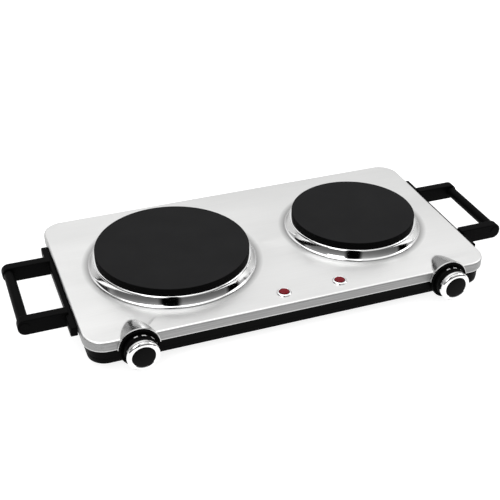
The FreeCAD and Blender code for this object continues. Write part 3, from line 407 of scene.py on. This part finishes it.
def clear_selection():
    if bpy.context.object and bpy.context.object.mode != "OBJECT":
        bpy.ops.object.mode_set(mode="OBJECT")
    bpy.ops.object.select_all(action="DESELECT")


def take(*pieces):
    """Selects pieces and nothing else, the first of them active."""
    clear_selection()
    for piece in pieces:
        piece.select_set(True)
    bpy.context.view_layer.objects.active = pieces[0]


def edit_all():
    """Goes to edit mode with the whole mesh selected."""
    bpy.ops.object.mode_set(mode="EDIT")
    bpy.ops.mesh.select_all(action="SELECT")


def begin(name, point):
    """Starts a piece as one vertex at a point, in edit mode."""
    clear_selection()
    bpy.ops.mesh.primitive_plane_add(size=SEED, location=point)
    piece = bpy.context.object
    piece.name = name
    edit_all()
    bpy.ops.mesh.merge(type="CENTER")
    return piece


def draw(points):
    """Draws on from the selected vertex through the points after the first."""
    for before, after in zip(points, points[1:]):
        bpy.ops.mesh.extrude_vertices_move(TRANSFORM_OT_translate={"value": tuple(after - before)})


def settle():
    """Closes seams, turns the faces outwards and puts the place into the mesh."""
    bpy.ops.mesh.select_all(action="SELECT")
    bpy.ops.mesh.remove_doubles(threshold=MERGE_PIECE)
    bpy.ops.mesh.normals_make_consistent(inside=False)
    bpy.ops.object.mode_set(mode="OBJECT")
    bpy.ops.object.transform_apply(location=True, rotation=True, scale=True)


def turn(name, points, centre, axis, closed=False):
    """Turns a drawn profile once round an axis."""
    piece = begin(name, points[0])
    draw(points + points[:1] if closed else points)
    bpy.ops.mesh.select_all(action="SELECT")
    bpy.ops.mesh.remove_doubles(threshold=MERGE_OUTLINE)
    bpy.ops.mesh.select_all(action="SELECT")
    steps = bpy.context.scene.hot_plate_sizes.steps
    bpy.ops.mesh.spin(steps=steps, angle=2 * math.pi, center=centre, axis=axis)
    settle()
    return piece


def section(steps, radius, level):
    """Profile points from steps out from a radius and along from a level."""
    return [(radius + out, level + along) for out, along in steps]


def turn_upright(name, centre, profile, closed=False):
    """Turned piece on a vertical axis, from (radius, level) pairs."""
    points = [Vector((centre.x + r, centre.y, z)) for r, z in profile]
    return turn(name, points, centre, (0, 0, 1), closed)


def turn_level(name, centre, profile, closed=False):
    """Turned piece on an axis along Y, from (radius, y) pairs."""
    points = [Vector((centre.x + r, y, centre.z)) for r, y in profile]
    return turn(name, points, centre, (0, 1, 0), closed)


def soften(piece, width):
    """Rounds the sharp edges of a piece."""
    take(piece)
    bevel = piece.modifiers.new("Edges", "BEVEL")
    bevel.width = width
    bevel.segments = SOFT_STEPS
    bevel.limit_method = "ANGLE"
    bevel.angle_limit = math.radians(SHARP_ANGLE)
    bevel.use_clamp_overlap = True
    bpy.ops.object.modifier_apply(modifier=bevel.name)


def dress(piece, body, slot, finish_name, *nodes, angle=SMOOTH):
    """Smooths a piece, gives it its finish and places it on its body in place of CAD nodes."""
    take(piece)
    bpy.ops.object.shade_smooth_by_angle(angle=math.radians(angle), keep_sharp_edges=True)
    even = piece.modifiers.new("Even shading", "WEIGHTED_NORMAL")
    even.keep_sharp = True
    even.weight = FACE_WEIGHT
    bpy.ops.object.modifier_apply(modifier=even.name)
    piece.data.materials.clear()
    piece.data.materials.append(finish(finish_name))
    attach(piece, body)
    if nodes:
        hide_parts(*nodes)


def shell_of(name, node):
    """A merged copy of a CAD node, for pieces whose solid already has the right form."""
    piece = bpy.data.objects.new(name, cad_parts[node].data.copy())
    bpy.context.scene.collection.objects.link(piece)
    take(piece)
    edit_all()
    bpy.ops.mesh.remove_doubles(threshold=MERGE_CAD)
    bpy.ops.object.mode_set(mode="OBJECT")
    return piece


def copy_of(piece, name, move):
    """A copy of a piece with its own mesh, moved, turned or mirrored by a matrix."""
    take(piece)
    bpy.ops.object.duplicate(linked=False)
    twin = bpy.context.object
    twin.name = name
    twin.matrix_world = move
    bpy.ops.object.transform_apply(location=True, rotation=True, scale=True)
    edit_all()
    bpy.ops.mesh.normals_make_consistent(inside=False)
    bpy.ops.object.mode_set(mode="OBJECT")
    return twin


def both_sides(piece, move):
    """A left-hand piece and its copy for the right-hand side."""
    return (("left", piece), ("right", copy_of(piece, piece.name.replace("left", "right", 1), move)))


def across(node):
    """Move from a left-hand node to its right-hand fellow."""
    return Matrix.Translation(middle("right_" + node) - middle("left_" + node))


def joined(pieces):
    """Several pieces made into the first of them."""
    take(*pieces)
    bpy.ops.object.join()
    return bpy.context.object


def coat(node, finish_name):
    """Gives a CAD node its finish."""
    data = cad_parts[node].data
    data.materials.clear()
    data.materials.append(finish(finish_name))


class HOTPLATE_OT_panel(bpy.types.Operator):
    """Steel top panel with its skirt and knob domes"""

    bl_idname = "hotplate.panel"
    bl_label = "Top panel"

    def execute(self, context):
        panel = shell_of("steel_panel", "top_panel")
        dress(panel, ROOT, "panel_steel", "panel", "top_panel", angle=SMOOTH_SHEET)
        return {"FINISHED"}


class HOTPLATE_OT_base(bpy.types.Operator):
    """Black base moulding, bottom sheet, feet and cord inlet"""

    bl_idname = "hotplate.base"
    bl_label = "Base"

    # Lower edge of the base: how far in from the panel's skirt, and its own sizes
    RIM_INSET = 0.0043
    RIM_CORNER = 0.0207
    RIM_WALL = 0.0030
    RIM_BELOW = 0.0032
    RIM_HEIGHT = 0.0070
    RIM_FLARE = 0.0005
    RIM_EDGE = 0.0008
    CORNER_STEPS = 12

    def execute(self, context):
        base = shell_of("black_base", "base_frame")
        dress(base, ROOT, "black_moulding", "black", "base_frame", angle=SMOOTH_MOULDING)
        self.rim(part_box("top_panel")[1], middle("left_plate").y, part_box("bottom_sheet")[0].z)
        coat("bottom_sheet", "paint")
        for side in SIDES:
            coat("foot_front_" + side, "rubber")
            coat("foot_rear_" + side, "rubber")
        coat("cord_inlet", "rubber")
        return {"FINISHED"}

    def rim(self, corner, centre_y, sheet):
        """Lower edge of the base, a hollow band that stands below the bottom sheet."""
        half_x = corner.x - self.RIM_INSET
        half_y = corner.y - centre_y - self.RIM_INSET
        bottom = sheet - self.RIM_BELOW
        clear_selection()
        bpy.ops.mesh.primitive_plane_add(size=2, location=(0, centre_y, bottom))
        band = bpy.context.object
        band.name = "base_rim"
        band.scale = (half_x, half_y, 1)
        bpy.ops.object.transform_apply(location=False, rotation=False, scale=True)
        edit_all()
        bpy.ops.mesh.bevel(offset=self.RIM_CORNER, segments=self.CORNER_STEPS, affect="VERTICES")
        bpy.ops.mesh.select_all(action="SELECT")
        bpy.ops.mesh.inset(thickness=self.RIM_WALL)
        bpy.ops.mesh.delete(type="FACE")
        bpy.ops.mesh.select_all(action="SELECT")
        bpy.ops.mesh.extrude_region_move(TRANSFORM_OT_translate={"value": (0, 0, self.RIM_HEIGHT)})
        flare = (1 + self.RIM_FLARE / half_x, 1 + self.RIM_FLARE / half_y, 1)
        bpy.ops.transform.resize(value=flare, center_override=(0, centre_y, bottom))
        settle()
        soften(band, self.RIM_EDGE)
        dress(band, ROOT, "black_moulding", "black")


class HOTPLATE_OT_plates(bpy.types.Operator):
    """Cast plates, turned with a soft top edge and a ledge over the trim ring"""

    bl_idname = "hotplate.plates"
    bl_label = "Cast plates"

    # Under side: step behind the ledge, width and draft of the rim, thickness of the top and fillet below it
    STEP = 0.001
    RIM = 0.004
    DRAFT = 0.002
    THICK = 0.009
    FILLET = 0.003
    EDGE_STEPS = 6

    def execute(self, context):
        edge = context.scene.hot_plate_sizes.plate_edge
        for side in SIDES:
            node = side + "_plate"
            low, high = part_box(node)
            r = (high.x - low.x) / 2
            top = high.z
            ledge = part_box(side + "_trim_ring")[1].z
            corner = []
            for i in range(self.EDGE_STEPS + 1):
                a = math.radians(90 * i / self.EDGE_STEPS)
                corner.append((r - edge + edge * math.sin(a), top - edge + edge * math.cos(a)))
            rim = r - self.STEP
            foot = rim - self.RIM
            wall = foot - self.DRAFT
            under = top - self.THICK
            profile = [(0, top)] + corner + [
                (r, ledge), (rim, ledge), (rim, low.z), (foot, low.z), (wall, under - self.FILLET),
                (wall - self.FILLET, under), (0, under),
            ]
            plate = turn_upright(side + "_cast_plate", middle(node), profile)
            dress(plate, ROOT, "cast_plate", "plate", node)
        return {"FINISHED"}


class HOTPLATE_OT_rings(bpy.types.Operator):
    """Trim rings, pressed from sheet: lip, round shoulder, wall and rolled foot"""

    bl_idname = "hotplate.rings"
    bl_label = "Trim rings"

    # Section of the sheet, out from the plate's edge: shoulder and inside down from the ring's top, foot up
    # from the panel
    SHOULDER = ((-0.0010, 0), (0.0013, 0), (0.0021, -0.0003), (0.0028, -0.0011), (0.0032, -0.0021),
                (0.0035, -0.0031))
    FOOT = ((0.0050, 0.0052), (0.0066, 0.0024), (0.0071, 0.0019), (0.0077, 0.0017), (0.0083, 0.0014),
            (0.0087, 0.0010), (0.0089, 0.0005), (0.0087, 0), (0.0060, 0), (0.0052, 0.0018))
    INSIDE = ((0.0027, -0.0034), (0.0020, -0.0018), (0.0011, -0.0008), (-0.0010, -0.0008))

    def execute(self, context):
        for side in SIDES:
            node = side + "_trim_ring"
            low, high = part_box(node)
            plate_low, plate_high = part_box(side + "_plate")
            r = (plate_high.x - plate_low.x) / 2
            profile = section(self.SHOULDER, r, high.z) + section(self.FOOT, r, low.z)
            profile += section(self.INSIDE, r, high.z)
            ring = turn_upright(side + "_bright_ring", middle(node), profile, True)
            dress(ring, ROOT, "bright_trim", "bright", node, angle=SMOOTH_RING)
        return {"FINISHED"}


class HOTPLATE_OT_knobs(bpy.types.Operator):
    """Knobs: skirt and barrel with printed scale, bright ring and crowned face"""

    bl_idname = "hotplate.knobs"
    bl_label = "Knobs"

    # Sections, out from a radius and along the axis: barrel from its back, bright ring from its start, groove
    # and seat, its lip and the crown of the cap from the face
    BARREL = ((-0.0006, 0), (0, -0.0006), (0, -0.0047), (-0.0005, -0.0055), (-0.0016, -0.0059))
    BARREL_EDGE = 0.0003
    RING_WALL = 0.0039
    RING_START = ((-0.0009, 0), (-0.0003, -0.0003), (0, -0.0009))
    RING_GROOVE = ((0, 0.0005), (-0.0005, 0.0002), (-0.0005, -0.0002), (0, -0.0005))
    RING_FRONT = ((-0.0001, 0.0012), (-0.0004, 0.0004), (-0.0010, -0.0004), (-0.0018, -0.0010))
    RING_LIP = ((0.0018, 0.0011), (0.0008, 0.0011), (0, 0.0016))
    CROWN = ((0, 0.0012), (-0.0003, 0.0009), (-0.0012, 0.00055), (-0.004, 0.0002), (-0.008, 0))

    # Ink of the print, its place before the back, degrees in a step of a mark and its fewest steps, and the
    # marks: start and span in degrees
    INK = 0.00005
    INK_RISE = 0.00004
    PRINT_IN = 0.0026
    MARK_STEP = 2
    MARK_LEAST = 3
    DOT = 2.5
    MARKS = ((108, DOT), (97, 13), (67, 16), (44, DOT), (32, 16), (8, DOT), (-4, 18), (-30, DOT), (-42, 20),
             (-70, DOT), (-82, 22), (-112, DOT))

    def execute(self, context):
        for piece, slot, finish_name, node, angle in self.model(context.scene.hot_plate_sizes.mark_width):
            for side, knob in both_sides(piece, across("knob_ring")):
                nodes = (side + node,) if node else ()
                dress(knob, side + "_knob", slot, finish_name, *nodes, angle=angle)
        return {"FINISHED"}

    def model(self, mark_width):
        """The left knob's pieces, each with its slot, finish, replaced node and shading angle."""
        cap_low, cap_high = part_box("left_knob_cap")
        ring_low, ring_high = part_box("left_knob_ring")
        body_low, body_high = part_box("left_knob_body")
        centre = middle("left_knob_ring")
        face = cap_low.y
        seat = cap_high.y
        start = ring_high.y
        back = body_high.y
        r = (ring_high.x - ring_low.x) / 2
        skirt = (body_high.x - body_low.x) / 2
        inner = r - self.RING_WALL
        rim = (cap_high.x - cap_low.x) / 2
        neck = skirt + self.BARREL[-1][0]
        profile = [(0, back)] + section(self.BARREL, skirt, back)
        profile += [(neck, start), (inner, start), (inner, seat), (0, seat)]
        barrel = turn_level("left_knob_barrel", centre, profile)
        soften(barrel, self.BARREL_EDGE)
        profile = [(inner, start)] + section(self.RING_START, r, start)
        profile += section(self.RING_GROOVE, r, (start + face) / 2) + section(self.RING_FRONT, r, seat)
        profile += section(self.RING_LIP, rim, face) + [(rim, seat), (inner, seat)]
        ring = turn_level("left_knob_bright_ring", centre, profile, True)
        profile = [(0, seat), (rim, seat)] + section(self.CROWN, rim, face) + [(0, face)]
        cap = turn_level("left_knob_face", centre, profile)
        marks = self.scale(centre, skirt, back - self.PRINT_IN, mark_width)
        return (
            (barrel, "knob_black", "knob", "_knob_body", SMOOTH),
            (ring, "bright_trim", "bright", "_knob_ring", SMOOTH_KNOB_RING),
            (cap, "knob_black", "knob", "_knob_cap", SMOOTH),
            (marks, "knob_black", "marks", None, SMOOTH),
        )

    def scale(self, centre, radius, back, width):
        """Dots and dashes printed round the skirt; a mark of a length made before is its turned copy."""
        made = {}
        pieces = []
        for angle, span in self.MARKS:
            if span in made:
                first_angle, first = made[span]
                turned = Matrix.Rotation(math.radians(first_angle - angle), 4, "Y")
                move = Matrix.Translation(centre) @ turned @ Matrix.Translation(-centre)
                pieces.append(copy_of(first, "mark", move))
            else:
                pieces.append(self.mark(centre, radius + self.INK_RISE, back, width, angle, span))
                made[span] = (angle, pieces[-1])
        print_piece = joined(pieces)
        print_piece.name = "left_knob_scale"
        wall = print_piece.modifiers.new("Ink", "SOLIDIFY")
        wall.thickness = self.INK
        wall.offset = 0
        bpy.ops.object.modifier_apply(modifier=wall.name)
        return print_piece

    def mark(self, centre, radius, back, width, angle, span):
        """One mark, a strip spun through its span."""
        a = math.radians(angle)
        point = Vector((centre.x + radius * math.cos(a), back, centre.z + radius * math.sin(a)))
        piece = begin("mark", point)
        draw([point, point - Vector((0, width, 0))])
        bpy.ops.mesh.select_all(action="SELECT")
        steps = max(self.MARK_LEAST, int(span / self.MARK_STEP))
        bpy.ops.mesh.spin(steps=steps, angle=math.radians(span), center=centre, axis=(0, 1, 0))
        settle()
        return piece


class HOTPLATE_OT_lamps(bpy.types.Operator):
    """Pilot lamps: domed red lens in a turned bright bezel"""

    bl_idname = "hotplate.lamps"
    bl_label = "Pilot lamps"

    # Lens: height of its edge above the panel and steps of its dome. Bezel: section from its outer edge, up
    # from the panel, and height of its inner edge
    LENS_EDGE = 0.0017
    LENS_STEPS = 8
    BEZEL = ((0, 0), (0, 0.0004), (-0.0003, 0.0009), (-0.0009, 0.0014), (-0.0016, 0.0018), (-0.0022, 0.0019),
             (-0.0026, 0.0017))
    BEZEL_INNER = 0.0012

    def execute(self, context):
        low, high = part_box("left_lamp_lens")
        bezel_low, bezel_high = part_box("left_lamp_bezel")
        centre = middle("left_lamp_lens")
        r = (high.x - low.x) / 2
        z = bezel_low.z
        edge = z + self.LENS_EDGE
        dome = []
        for i in range(self.LENS_STEPS):
            a = math.radians(90 * i / self.LENS_STEPS)
            dome.append((r * math.cos(a), edge + (high.z - edge) * math.sin(a)))
        lens = turn_upright("left_red_lens", centre, [(0, low.z), (r, low.z)] + dome + [(0, high.z)])
        out = (bezel_high.x - bezel_low.x) / 2
        profile = [(r, z)] + section(self.BEZEL, out, z) + [(r, z + self.BEZEL_INNER)]
        bezel = turn_upright("left_bezel", centre, profile, True)
        for side, piece in both_sides(lens, across("lamp_lens")):
            dress(piece, ROOT, "red_lens", "lens", side + "_lamp_lens", angle=SMOOTH_LAMP)
        for side, piece in both_sides(bezel, across("lamp_bezel")):
            dress(piece, ROOT, "bright_trim", "bright", side + "_lamp_bezel", angle=SMOOTH_LAMP)
        return {"FINISHED"}


class HOTPLATE_OT_handles(bpy.types.Operator):
    """Carrying handles: flange and two flat arms with round ends, round grip between them, end plugs"""

    bl_idname = "hotplate.handles"
    bl_label = "Handles"

    # Arms: width, drop of the top below the panel, height and round of the end
    ARM = 0.012
    ARM_DROP = 0.0017
    ARM_HEIGHT = 0.0200
    ARM_ROUND = 0.0090
    ROUND_STEPS = 12

    # Flange: reach, drop of the top below the panel, height and relief between the arms; edges of both
    FLANGE = 0.0085
    FLANGE_DROP = 0.0050
    FLANGE_HEIGHT = 0.0115
    FLANGE_RELIEF = 0.0027
    EDGE = 0.0015

    # Grip: seat in the arms, radius of the spigots, how much thinner it is than its box, depth and length of
    # its edges
    GRIP_SEAT = 0.0101
    GRIP_SPIGOT = 0.0045
    GRIP_EASE = 0.0008
    GRIP_EDGE = 0.0004
    GRIP_EDGE_LENGTH = 0.0006

    def execute(self, context):
        low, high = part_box("left_handle_grip")
        inner = (high.y - low.y) / 2 - self.GRIP_SEAT
        for side, piece in both_sides(self.moulding(inner), Matrix.Scale(-1, 4, (1, 0, 0))):
            dress(piece, ROOT, "black_moulding", "black", side + "_handle", angle=SMOOTH_MOULDING)
        for side, piece in both_sides(self.grip(low, high, inner), across("handle_grip")):
            dress(piece, ROOT, "black_moulding", "black", side + "_handle_grip")
            coat(side + "_grip_caps", "black")
        return {"FINISHED"}

    def moulding(self, inner):
        """The left flange with a relief between the arms, and the two arms."""
        low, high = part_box("left_handle")
        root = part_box("top_panel")[0].x
        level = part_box("left_trim_ring")[0].z
        centre = (low.y + high.y) / 2
        half = (high.y - low.y) / 2
        out = root - self.FLANGE
        back = out + self.FLANGE_RELIEF
        bottom = level - self.FLANGE_DROP - self.FLANGE_HEIGHT
        plan = [(root, -half), (out, -half), (out, -inner), (back, -inner), (back, inner), (out, inner),
                (out, half), (root, half)]
        points = [Vector((x, centre + y, bottom)) for x, y in plan]
        flange = begin("left_handle_moulding", points[0])
        draw(points)
        bpy.ops.mesh.select_all(action="SELECT")
        bpy.ops.mesh.edge_face_add()
        bpy.ops.mesh.select_all(action="SELECT")
        bpy.ops.mesh.extrude_region_move(TRANSFORM_OT_translate={"value": (0, 0, self.FLANGE_HEIGHT)})
        settle()
        soften(flange, self.EDGE)
        apart = 2 * inner + self.ARM
        arm_z = level - self.ARM_DROP - self.ARM_HEIGHT / 2
        arm = self.arm(Vector((root - self.FLANGE / 2, centre - apart / 2, arm_z)), low.x)
        return joined([flange, arm, copy_of(arm, "arm", Matrix.Translation((0, apart, 0)))])

    def arm(self, root, end):
        """One arm: a flat bar from its root to a rounded end."""
        clear_selection()
        bpy.ops.mesh.primitive_cube_add(size=1, location=((root.x + end) / 2, root.y, root.z))
        bar = bpy.context.object
        bar.scale = (abs(end - root.x), self.ARM, self.ARM_HEIGHT)
        bpy.ops.object.transform_apply(location=True, rotation=False, scale=True)
        bpy.ops.object.mode_set(mode="EDIT")
        bpy.ops.mesh.select_mode(type="EDGE")
        bpy.ops.mesh.select_all(action="DESELECT")
        bpy.ops.object.mode_set(mode="OBJECT")
        for edge in bar.data.edges:
            first, second = (bar.data.vertices[v].co for v in edge.vertices)
            at_end = abs(first.x - end) < MERGE_PIECE and abs(second.x - end) < MERGE_PIECE
            edge.select = at_end and abs(first.z - second.z) < MERGE_PIECE
        bpy.ops.object.mode_set(mode="EDIT")
        bpy.ops.mesh.bevel(offset=self.ARM_ROUND, segments=self.ROUND_STEPS, affect="EDGES")
        bpy.ops.mesh.select_mode(type="VERT")
        settle()
        soften(bar, self.EDGE)
        return bar

    def grip(self, low, high, inner):
        """The left round bar, with spigots into both arms."""
        centre = middle("left_handle_grip")
        r = (high.x - low.x) / 2 - self.GRIP_EASE
        spigot = self.GRIP_SPIGOT
        y0 = centre.y - inner
        y1 = centre.y + inner
        edge = r - self.GRIP_EDGE
        return turn_level("left_round_grip", centre, [
            (0, low.y), (spigot, low.y), (spigot, y0), (edge, y0), (r, y0 + self.GRIP_EDGE_LENGTH),
            (r, y1 - self.GRIP_EDGE_LENGTH), (edge, y1), (spigot, y1), (spigot, high.y), (0, high.y)])


class HOTPLATE_OT_inside(bpy.types.Operator):
    """Finishes of the pieces inside the housing"""

    bl_idname = "hotplate.inside"
    bl_label = "Inside"

    def execute(self, context):
        groups = {
            "zinc": ("clamp_strap", "plate_stud", "thermostat_bracket", "knob_shaft"),
            "sheath": ("heating_element",),
            "sheet": ("heat_shield",),
            "fibre": ("insulation_disc", "wiring"),
            "ceramic": ("thermostat", "lamp_holder"),
        }
        for finish_name, names in groups.items():
            for name in names:
                for side in SIDES:
                    coat(side + "_" + name, finish_name)
        for node in ("plate_stud_nuts", "plate_stud_spacers", "thermostat_nuts", "handle_screws",
                     "panel_studs", "panel_nuts"):
            coat(node, "zinc")
        coat("terminal_block", "ceramic")
        coat("terminal_screws", "brass")
        return {"FINISHED"}


class HOTPLATE_OT_stage(bpy.types.Operator):
    """Pale floor, soft studio light and the camera"""

    bl_idname = "hotplate.stage"
    bl_label = "Studio"

    # Floor: its side, and the strength of its own glow
    FLOOR_SIZE = 12
    FLOOR_GLOW = 0.86

    # Studio: azimuth of its front, strength, greys by height behind the object and ahead of it, the turn from
    # the one to the other, and the plain grey that the camera sees past the floor
    FRONT = -20.8
    GLOW = 0.95
    BEHIND = ((0.0, 0.40), (0.35, 0.72), (0.52, 0.95), (0.70, 1.20))
    AHEAD = ((0.0, 0.10), (0.22, 0.18), (0.42, 0.34), (0.62, 0.92), (0.78, 1.0))
    TURN = (-0.2, 0.3)
    SEEN = 1.06

    # Flags: azimuth, half width, grey and top, in degrees; their edges fade over SOFT degrees to both sides
    FLAGS = ((FRONT, 13, 0.0, 85), (67, 10, 0.0, 52), (-118, 12, 0.03, 55))
    SOFT = 3

    # Lights: name, place, size and power, and the point that they face
    BOXES = (("top_box", (-0.25, 0.10, 1.5), 1.3, 7.0), ("front_box", (-1.1, -1.0, 1.2), 0.9, 5.0),
             ("side_box", (1.4, -0.3, 1.0), 0.9, 4.0))
    AIM = (0, 0, 0.03)

    # Camera: azimuth, elevation and roll in degrees, lens and sensor in mm, clip range, and place from
    # the middle of the panel's top
    VIEW = (-20.82, 32.69, 0.498)
    LENS = 70.25
    SENSOR = 36
    CLIP = (0.01, 60)
    STAND = (-0.3749, -0.9525, 0.6454)

    def execute(self, context):
        scene = context.scene
        scene.view_settings.view_transform = "Standard"
        self.floor(scene)
        self.sky(scene)
        self.lights(scene)
        self.camera(scene)
        return {"FINISHED"}

    def floor(self, scene):
        clear_selection()
        bpy.ops.mesh.primitive_plane_add(size=self.FLOOR_SIZE, location=(0, 0, 0))
        floor = bpy.context.object
        floor.name = "studio_floor"
        glow = {"Emission_Color": grey(1), "Emission_Strength": self.FLOOR_GLOW}
        f = Finish("studio_floor", Specular_IOR_Level=0.0, **glow)
        tone = f.tones(f.noise(3), scene.hot_plate_colours.floor, (0.3, 0.99), (0.7, 1.0))
        floor.data.materials.append(f.feed(Base_Color=tone))

    def sky(self, scene):
        """Pale studio, brighter overhead, with dark upright flags that the bright trim mirrors."""
        f = Surround("studio", self.GLOW)
        way = f.place()
        height = f.axis(way, "Z")
        behind = f.tones(height, grey(1), *self.BEHIND)
        ahead = f.tones(height, grey(1), *self.AHEAD)
        level = f.vector("NORMALIZE", f.vector("MULTIPLY", way, (1, 1, 0)))
        shade = f.blend(self.towards(f, level, self.FRONT).over(*self.TURN), behind, ahead)
        for azimuth, half, tone, top in self.FLAGS:
            out, inside = math.radians(half + self.SOFT), math.radians(half - self.SOFT)
            under, over = math.radians(top - self.SOFT), math.radians(top + self.SOFT)
            beside = self.towards(f, level, azimuth).over(math.cos(out), math.cos(inside))
            above = height.over(math.sin(under), math.sin(over))
            shade = f.blend(beside * (1 - above), shade, grey(tone))
        seen = f.add("ShaderNodeLightPath", output="Is Camera Ray")
        scene.world = f.feed(Color=f.blend(seen, shade, grey(self.SEEN)))

    def towards(self, f, level, azimuth):
        """Cosine of the angle between a level direction and an azimuth."""
        turn_angle = math.radians(azimuth)
        aim = (math.sin(turn_angle), -math.cos(turn_angle), 0)
        return f.vector("DOT_PRODUCT", level, aim, "Value")

    def lights(self, scene):
        for name, place, size, power in self.BOXES:
            data = bpy.data.lights.new(name, "AREA")
            data.shape = "SQUARE"
            data.size = size
            data.energy = power
            lamp = bpy.data.objects.new(name, data)
            lamp.location = place
            lamp.rotation_euler = (Vector(self.AIM) - Vector(place)).to_track_quat("-Z", "Y").to_euler()
            scene.collection.objects.link(lamp)

    def camera(self, scene):
        """Stands where the photograph was taken from."""
        turn_angle, rise, roll = (math.radians(v) for v in self.VIEW)
        away = math.cos(rise)
        back = Vector((math.sin(turn_angle) * away, -math.cos(turn_angle) * away, math.sin(rise)))
        level = (-back).cross(Vector((0, 0, 1))).normalized()
        up = level.cross(-back)
        right = level * math.cos(roll) + up * math.sin(roll)
        top = up * math.cos(roll) - level * math.sin(roll)
        data = bpy.data.cameras.new("camera")
        data.sensor_width = self.SENSOR
        data.lens = self.LENS
        data.clip_start, data.clip_end = self.CLIP
        camera = bpy.data.objects.new("camera", data)
        scene.collection.objects.link(camera)
        panel = Vector((0, middle("left_plate").y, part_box("left_trim_ring")[0].z))
        turned = Matrix((right, top, back)).transposed().to_4x4()
        camera.matrix_world = Matrix.Translation(panel + Vector(self.STAND)) @ turned
        scene.camera = camera


class HOTPLATE_PT_panel(bpy.types.Panel):
    """Lists the pieces and their settings"""

    bl_idname = "HOTPLATE_PT_panel"
    bl_label = "Hot plate"
    bl_space_type = "VIEW_3D"
    bl_region_type = "UI"
    bl_category = "Hot plate"

    def draw(self, context):
        layout = self.layout
        for operator in OPERATORS:
            layout.operator(operator.bl_idname)
        for group in (context.scene.hot_plate_sizes, context.scene.hot_plate_colours):
            for name in group.__annotations__:
                layout.prop(group, name)


OPERATORS = (HOTPLATE_OT_panel, HOTPLATE_OT_base, HOTPLATE_OT_plates, HOTPLATE_OT_rings, HOTPLATE_OT_knobs,
             HOTPLATE_OT_lamps, HOTPLATE_OT_handles, HOTPLATE_OT_inside, HOTPLATE_OT_stage)
CLASSES = (HotPlateSizes, HotPlateColours) + OPERATORS + (HOTPLATE_PT_panel,)


def register():
    for cls in CLASSES:
        bpy.utils.register_class(cls)
    bpy.types.Scene.hot_plate_sizes = bpy.props.PointerProperty(type=HotPlateSizes)
    bpy.types.Scene.hot_plate_colours = bpy.props.PointerProperty(type=HotPlateColours)


def unregister():
    del bpy.types.Scene.hot_plate_colours
    del bpy.types.Scene.hot_plate_sizes
    for cls in reversed(CLASSES):
        bpy.utils.unregister_class(cls)


def main():
    register()
    for operator in OPERATORS:
        group, name = operator.bl_idname.split(".")
        getattr(getattr(bpy.ops, group), name)()


if __name__ == "__main__":
    main()
